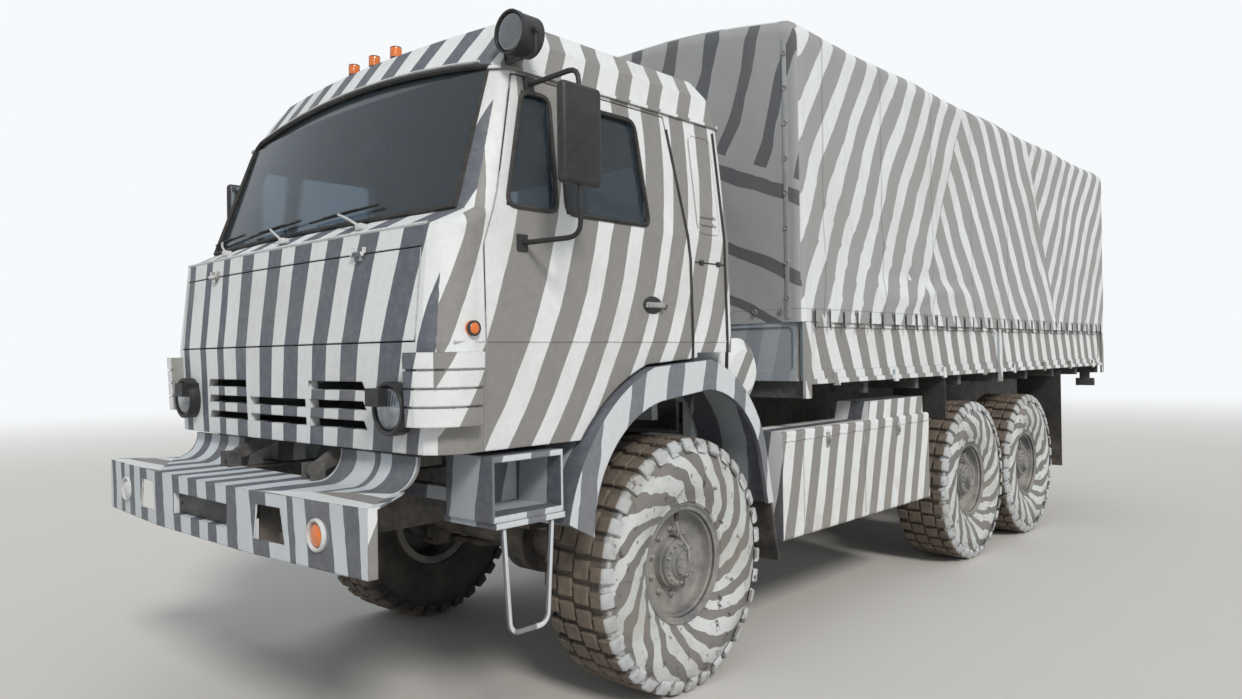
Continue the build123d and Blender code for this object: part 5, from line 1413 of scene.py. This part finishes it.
def makeMirrors(look):
    x, y, half, deep = look["tubeX"], look["tubeY"], look["caseHalf"], look["caseDeep"]
    low, high, edge = look["caseLow"], look["caseHigh"], look["glassEdge"]
    foot = (cabSideX(2.12) - 0.004, y - look["footBack"], look["low"] - look["footDrop"])
    head = (cabSideX(look["high"]) - 0.002, y + look["headAhead"], look["high"])
    arm = addRod("mirrorArm", [foot, (x, y, look["low"]), (x, y, look["high"]), head], look["radius"],
                 look["corner"], 12)
    casing = addBox("mirrorCase", (x - deep, y - half, low), (x + deep, y + half, high), 0.022, 4)
    pieces = [arm, casing]
    for footX, footY, footZ in (foot, head):
        pieces.append(addBox("mirrorFoot", (footX - 0.004, footY - 0.028, footZ - 0.035),
                             (footX + 0.014, footY + 0.028, footZ + 0.035), 0.005))
    for z in (low + look["clampIn"], high - look["clampIn"]):
        pieces.append(addRound("mirrorClamp", 0.018, 0.03, (x, y, z), "Z", 16, 0.004))
    left = joinAll("mirrorLeft", pieces)
    right = otherSide(left, "mirrorRight")
    glass = addBox("mirrorGlassLeft", (x - deep - 0.001, y - half + edge, low + edge),
                   (x - deep + 0.004, y + half - edge, high - edge), 0.002)
    otherGlass = otherSide(glass, "mirrorGlassRight")
    mirrorGlass = makeGlass("mirrorGlass", colour(0.55, 0.58, 0.60), mirror=True)
    finishPiece(left, "door_left", blackPlastic, ["mirror_left"])
    finishPiece(right, "door_right", blackPlastic, ["mirror_right"])
    finishPiece(glass, "door_left", mirrorGlass)
    finishPiece(otherGlass, "door_right", mirrorGlass)


def makeInsideMirror(look):
    # oval mirror that hangs from the top of the windscreen
    clearSelection()
    bpy.ops.mesh.primitive_uv_sphere_add(segments=32, ring_count=16, radius=1, location=look["insidePlace"])
    oval = bpy.context.object
    oval.name = "insideMirror"
    oval.scale = look["insideHalves"]
    settle(oval)
    smoothByAngle(oval, 60)
    stalk = addRod("insideStalk", look["stalk"], look["stalkRadius"], 0.02)
    finishPiece(joinAll("insideMirror", [oval, stalk]), "cab", blackPlastic)


makeMirrors(mirrorLook)
makeInsideMirror(mirrorLook)
print("mirrors made")


# Seats

seatLook = {
    # inner side, outer side of the driver's seat and of the passengers' bench
    "widths": [("driver", 0.38, 0.92, 1), ("bench", -0.92, -0.02, 3)],
    "front": -3.32, "rear": -2.74, "floor": 1.705, "cushion": 0.16, "backTop": 2.385, "backDeep": 0.105,
    "lean": 7.54, "channels": 3, "pipingRadius": 0.004, "cushionBevel": 0.03, "backBevel": 0.035, "fill": 0.7,
    "voxel": 0.013, "pressure": 4.0, "cap": 0.022, "inset": 0.014,
}


def swellCushion(pad, look):
    # remeshes the pad and lets cloth pressure fill it, with a cap on how far a point may move
    pick(pad)
    grid = pad.modifiers.new("grid", "REMESH")
    grid.mode = "VOXEL"
    grid.voxel_size = look["voxel"]
    bpy.ops.object.modifier_apply(modifier=grid.name)
    start = [vertex.co.copy() for vertex in pad.data.vertices]
    cloth = pad.modifiers.new("fill", "CLOTH")
    cloth.settings.use_pressure = True
    cloth.settings.uniform_pressure_force = look["pressure"]
    cloth.settings.effector_weights.gravity = 0
    cloth.settings.quality = 5
    for step in range(1, 21):
        bpy.context.scene.frame_set(step)
    graph = bpy.context.evaluated_depsgraph_get()
    swollen = [vertex.co.copy() for vertex in pad.evaluated_get(graph).data.vertices]
    pad.modifiers.remove(cloth)
    bpy.context.scene.frame_set(1)
    for vertex, before, after in zip(pad.data.vertices, start, swollen):
        step = after - before
        if step.length > look["cap"]:
            step = step * (look["cap"] / step.length)
        vertex.co = before + step


def finishCushion(pad):
    pick(pad)
    fine = pad.modifiers.new("fine", "SUBSURF")
    fine.levels = 1
    bpy.ops.object.modifier_apply(modifier=fine.name)
    smoothByAngle(pad, 80)


def addSeams(name, pad, loops):
    # sewn piping laid on the pad's own surface along each loop
    rods = []
    for loop in loops:
        laid = []
        for point in loop:
            laid.append(tuple(pad.closest_point_on_mesh(Vector(point))[1]))
        rods.append(addRod(name, laid, seatLook["pipingRadius"]))
    return joinAll(name, rods)


def makeSeats(look):
    inset, floor, deep, rear = look["inset"], look["floor"], look["backDeep"], look["rear"]
    top = floor + look["cushion"]
    slope = math.tan(math.radians(look["lean"]))
    for name, inner, outer, places in look["widths"]:
        low = (inner + inset, look["front"] + inset, floor)
        high = (outer - inset, rear - 0.01, top - inset)
        base = addBox(f"{name}Cushion", low, high, look["cushionBevel"], 3)
        backHigh = look["backTop"] - floor - 0.02
        back = addBox(f"{name}Backrest", (inner + inset, -deep / 2, 0.0), (outer - inset, deep / 2, backHigh),
                      look["backBevel"], 3)
        back = moved(turned(back, ("X", -math.radians(look["lean"]))), (0, rear + 0.068, floor + 0.012))
        for pad in (base, back):
            swellCushion(pad, look)
        # piping round the cushion's rim, then one seam between each two channels
        x0, x1, y0, y1, z = low[0] - 0.01, high[0] + 0.01, low[1] - 0.01, high[1] + 0.01, high[2] - 0.012
        rim = alongEdge((x0, y0, z), (x1, y0, z), 30) + alongEdge((x1, y0, z), (x1, y1, z), 20)
        rim += alongEdge((x1, y1, z), (x0, y1, z), 30) + alongEdge((x0, y1, z), (x0, y0, z), 20)
        rim.append(rim[0])
        channels = places * look["channels"]
        seamX = [inner + (outer - inner) * place / channels for place in range(1, channels)]
        onBase = [alongEdge((x, y0 + 0.03, top + 0.05), (x, y1 - 0.03, top + 0.05), 24) for x in seamX]
        faceY = rear - 0.10
        onBack = [alongEdge((x, faceY + slope * 0.2, floor + 0.2),
                            (x, faceY + slope * backHigh, floor + backHigh - 0.05), 24) for x in seamX]
        seams = [addSeams(f"{name}CushionSeams", base, [rim, *onBase]),
                 addSeams(f"{name}BackrestSeams", back, onBack)]
        for pad in (base, back):
            finishCushion(pad)
            finishPiece(pad, "cab", seatVinyl, ["seats"])
        finishPiece(joinAll(f"{name}Seams", seams), "cab", blackRubber)


makeSeats(seatLook)
print("seats made")


# Canvas fittings

hookLook = {
    "pitch": 0.175, "eyeletZ": 1.905, "hookZ": 1.805, "start": -1.62, "end": 4.58, "x": 1.2505,
    # eyelet profile: distance along its axis and radius
    "eyelet": [(0.002, 0.009), (0.004, 0.012), (0.002, 0.017), (-0.003, 0.017), (-0.003, 0.009),
               (0.002, 0.009)],
    "hook": [(-0.006, 0, -0.085), (0.011, 0, -0.088), (0.013, 0, -0.108), (0.004, 0, -0.112)],
    "hookRadius": 0.0035, "strapHalf": 0.008, "strapOut": (0.002, 0.005),
    # front wall: the row at its foot and the two sewn seams with their eyelets
    "footEyelets": 13, "footHalf": 1.10, "footY": -1.7475,
    "wallSeamX": 1.145, "seamHalf": 0.014, "seamY": (-1.7485, -1.7435), "seamZ": (1.86, 3.50),
    "wallEyelets": 8, "wallEyeletY": -1.749, "wallEyeletZ": 1.98, "wallPitch": 0.205,
}


def makeHooks(look):
    # an eyelet in the hem, a short strap and the hook on the board below it
    eyelet = latheAround("eyelet", look["eyelet"], 10)
    drop, half, (near, far) = look["hookZ"] - look["eyeletZ"], look["strapHalf"], look["strapOut"]
    strap = addBox("strap", (near, -half, drop), (far, half, 0.0))
    hook = addRod("hook", look["hook"], look["hookRadius"], sides=4)
    count = int((look["end"] - look["start"]) / look["pitch"]) + 1
    rings, straps, hooks = [], [], []
    for index in range(count):
        place = (look["x"], look["start"] + index * look["pitch"], look["eyeletZ"])
        rings.append(copyOf(eyelet, f"eyelet{index}", move=place))
        straps.append(copyOf(strap, f"strap{index}", move=place))
        hooks.append(copyOf(hook, f"hook{index}", move=place))
    ahead = ("Z", -math.pi / 2)
    for index in range(look["footEyelets"]):
        x = -look["footHalf"] + index * (2 * look["footHalf"]) / (look["footEyelets"] - 1)
        place = (x, look["footY"], look["eyeletZ"])
        rings.append(copyOf(eyelet, f"frontEyelet{index}", move=place, turn=ahead))
    bindings = []
    (front, back), (low, high), half = look["seamY"], look["seamZ"], look["seamHalf"]
    for side in (-1, 1):
        x = side * look["wallSeamX"]
        bindings.append(addBox("wallSeam", (x - half, front, low), (x + half, back, high), 0.002))
        for index in range(look["wallEyelets"]):
            place = (x, look["wallEyeletY"], look["wallEyeletZ"] + index * look["wallPitch"])
            rings.append(copyOf(eyelet, f"wallEyelet{index}", move=place, turn=ahead))
    finishPiece(joinAll("frontWallSeams", bindings), "chassis", seamCloth)
    for master in (eyelet, strap, hook):
        bpy.data.objects.remove(master)
    # the first ones of each list stand on the left side and get a mirror image
    for name, items, material, slot in (("canvasEyelets", rings, steelMetal, "wheel_paint"),
                                        ("hemStraps", straps, blackRubber, "flap_rubber"),
                                        ("boardHooks", hooks, steelMetal, "wheel_paint")):
        left = joinAll(f"{name}Left", items[:count])
        right = otherSide(left, f"{name}Right")
        finishPiece(joinAll(name, [left, right, *items[count:]]), "chassis", material)


curtainLook = {
    "centreY": 4.583, "centreZ": 3.505, "half": 1.16, "inner": 0.018, "outer": 0.052, "turns": 8.7,
    "across": 72, "around": 200, "thickness": 0.0015, "ripple": 0.0012, "droop": 0.014,
    "strapX": (-0.8, 0.0, 0.8), "strapSpan": 0.8, "pinch": 0.16, "pinchHalf": 0.035,
    "strapHalf": 0.015, "strapRadii": (0.0475, 0.0505), "hangerTop": 3.62, "middleHangerTop": 3.655,
}


def makeRolledCurtain(look):
    # the rear curtain rolled up under the top of the opening, as one spiral sheet
    across, around, half = look["across"], look["around"], look["half"]
    y, z, bay = look["centreY"], look["centreZ"], look["strapSpan"]
    points, length, last = [], 0.0, None
    for step in range(around + 1):
        turn = 2 * math.pi * look["turns"] * step / around
        radius = look["inner"] + (look["outer"] - look["inner"]) * step / around
        here = (radius * math.cos(turn), radius * math.sin(turn))
        if last:
            length += math.dist(here, last)
        last = here
        for column in range(across + 1):
            x = -half + 2 * half * column / across
            squeeze = sum(math.exp(-((x - place) / look["pinchHalf"]) ** 2) for place in look["strapX"])
            droop = -look["droop"] * math.sin(math.pi * ((x + bay) % bay) / bay)
            ripple = look["ripple"] * noise.noise(Vector((x * 9, turn * 0.4, 2.0)))
            scale = (1 - look["pinch"] * squeeze) * (1 + ripple / radius)
            points.append((x, y + here[0] * scale, z + droop + here[1] * scale))
    roll = addMesh("rolledCurtain", points, [], gridFaces(around + 1, across + 1))
    faceOut(roll)
    thicken(roll, look["thickness"])
    straps = []
    wide, (under, over) = look["strapHalf"], look["strapRadii"]
    profile = [(-wide, under), (-wide, over), (wide, over), (wide, under), (-wide, under)]
    for x in look["strapX"]:
        straps.append(latheAround("rollStrap", profile, 28, (x, y, z)))
        topZ = look["hangerTop"] if x else look["middleHangerTop"]
        straps.append(addBox("rollHanger", (x - wide, y - over, z), (x + wide, y - under, topZ)))
    finishPiece(roll, "chassis", curtainCloth)
    finishPiece(joinAll("rollStraps", straps), "chassis", blackRubber)


makeHooks(hookLook)
makeRolledCurtain(curtainLook)
print("canvas fittings made")


# Floor, light and camera

studioSettings = {
    "floorColour": colour(0.62, 0.60, 0.57),
    "fadeFrom": 9.0, "fadeTo": 30.0,
    "skyLight": 0.62,
    "sunStrength": 2.0, "sunAngle": 14.0, "sunFrom": (52, 0, 62),
    "cameraPlace": (3.9231, -6.2511, 1.6601),
    "cameraYaw": 42.313, "cameraPitch": 0.344, "cameraRoll": -0.834,
    "lens": 25.77,
}


def makeFloor(look):
    clearSelection()
    bpy.ops.mesh.primitive_circle_add(vertices=96, radius=220, fill_type="NGON", location=(0, 0, 0))
    floor = bpy.context.object
    floor.name = "studioFloor"
    nodes = Nodes("studioFloor")
    grain = nodes.noise(1.2, 8.0, 0.6)
    base = nodes.mix(nodes.times(grain, 0.15), look["floorColour"], colour(0.50, 0.47, 0.43))
    nodes.give("Base Color", base)
    nodes.give("Roughness", 0.9)
    far = nodes.add("ShaderNodeVectorMath", operation="LENGTH")
    nodes.plug(far.inputs[0], nodes.place)
    share = nodes.spread(far.outputs["Value"], look["fadeFrom"], look["fadeTo"])
    glow = nodes.add("ShaderNodeEmission")
    glow.inputs["Color"].default_value = colour(0.93, 0.95, 0.97)
    ray = nodes.add("ShaderNodeLightPath")
    seen = nodes.either(ray.outputs["Is Camera Ray"], ray.outputs["Is Glossy Ray"])
    blend = nodes.add("ShaderNodeMixShader")
    nodes.plug(blend.inputs[0], nodes.times(share, seen))
    nodes.plug(blend.inputs[1], nodes.shader.outputs[0])
    nodes.plug(blend.inputs[2], glow.outputs[0])
    nodes.plug(nodes.tree.nodes["Material Output"].inputs[0], blend.outputs[0])
    floor.data.materials.append(nodes.material)


def makeSky(look):
    world = bpy.data.worlds.new("studioSky")
    world.use_nodes = True
    tree = world.node_tree
    plain = tree.nodes["Background"]
    plain.inputs["Color"].default_value = colour(0.90, 0.95, 1.0)
    plain.inputs["Strength"].default_value = look["skyLight"]
    seenSky = tree.nodes.new("ShaderNodeBackground")
    seenSky.inputs["Color"].default_value = colour(0.93, 0.95, 0.97)
    ray = tree.nodes.new("ShaderNodeLightPath")
    either = tree.nodes.new("ShaderNodeMath")
    either.operation = "MAXIMUM"
    tree.links.new(ray.outputs["Is Camera Ray"], either.inputs[0])
    tree.links.new(ray.outputs["Is Transmission Ray"], either.inputs[1])
    blend = tree.nodes.new("ShaderNodeMixShader")
    tree.links.new(either.outputs[0], blend.inputs[0])
    tree.links.new(plain.outputs[0], blend.inputs[1])
    tree.links.new(seenSky.outputs[0], blend.inputs[2])
    tree.links.new(blend.outputs[0], tree.nodes["World Output"].inputs[0])
    bpy.context.scene.world = world


def makeSun(look):
    bpy.ops.object.light_add(type="SUN", rotation=[math.radians(a) for a in look["sunFrom"]])
    sun = bpy.context.object
    sun.name = "softSun"
    sun.data.energy = look["sunStrength"]
    sun.data.angle = math.radians(look["sunAngle"])
    sun.data.color = (1.0, 0.97, 0.92)


def makeCamera(look):
    yaw, pitch, roll = (math.radians(look[key]) for key in ("cameraYaw", "cameraPitch", "cameraRoll"))
    ahead = Vector((-math.sin(yaw) * math.cos(pitch), math.cos(yaw) * math.cos(pitch), math.sin(pitch)))
    right = Vector((math.cos(yaw), math.sin(yaw), 0))
    up = right.cross(ahead)
    rightTurned = right * math.cos(roll) + up * math.sin(roll)
    upTurned = up * math.cos(roll) - right * math.sin(roll)
    bpy.ops.object.camera_add(location=look["cameraPlace"])
    camera = bpy.context.object
    camera.name = "photoCamera"
    axes = Matrix((rightTurned, upTurned, -ahead)).transposed()
    camera.rotation_euler = axes.to_euler()
    camera.data.lens = look["lens"]
    camera.data.sensor_width = 36
    bpy.context.scene.camera = camera


clearSelection()
makeFloor(studioSettings)
makeSky(studioSettings)
makeSun(studioSettings)
makeCamera(studioSettings)
bpy.context.scene.view_settings.view_transform = "Standard"
print("studio ready")
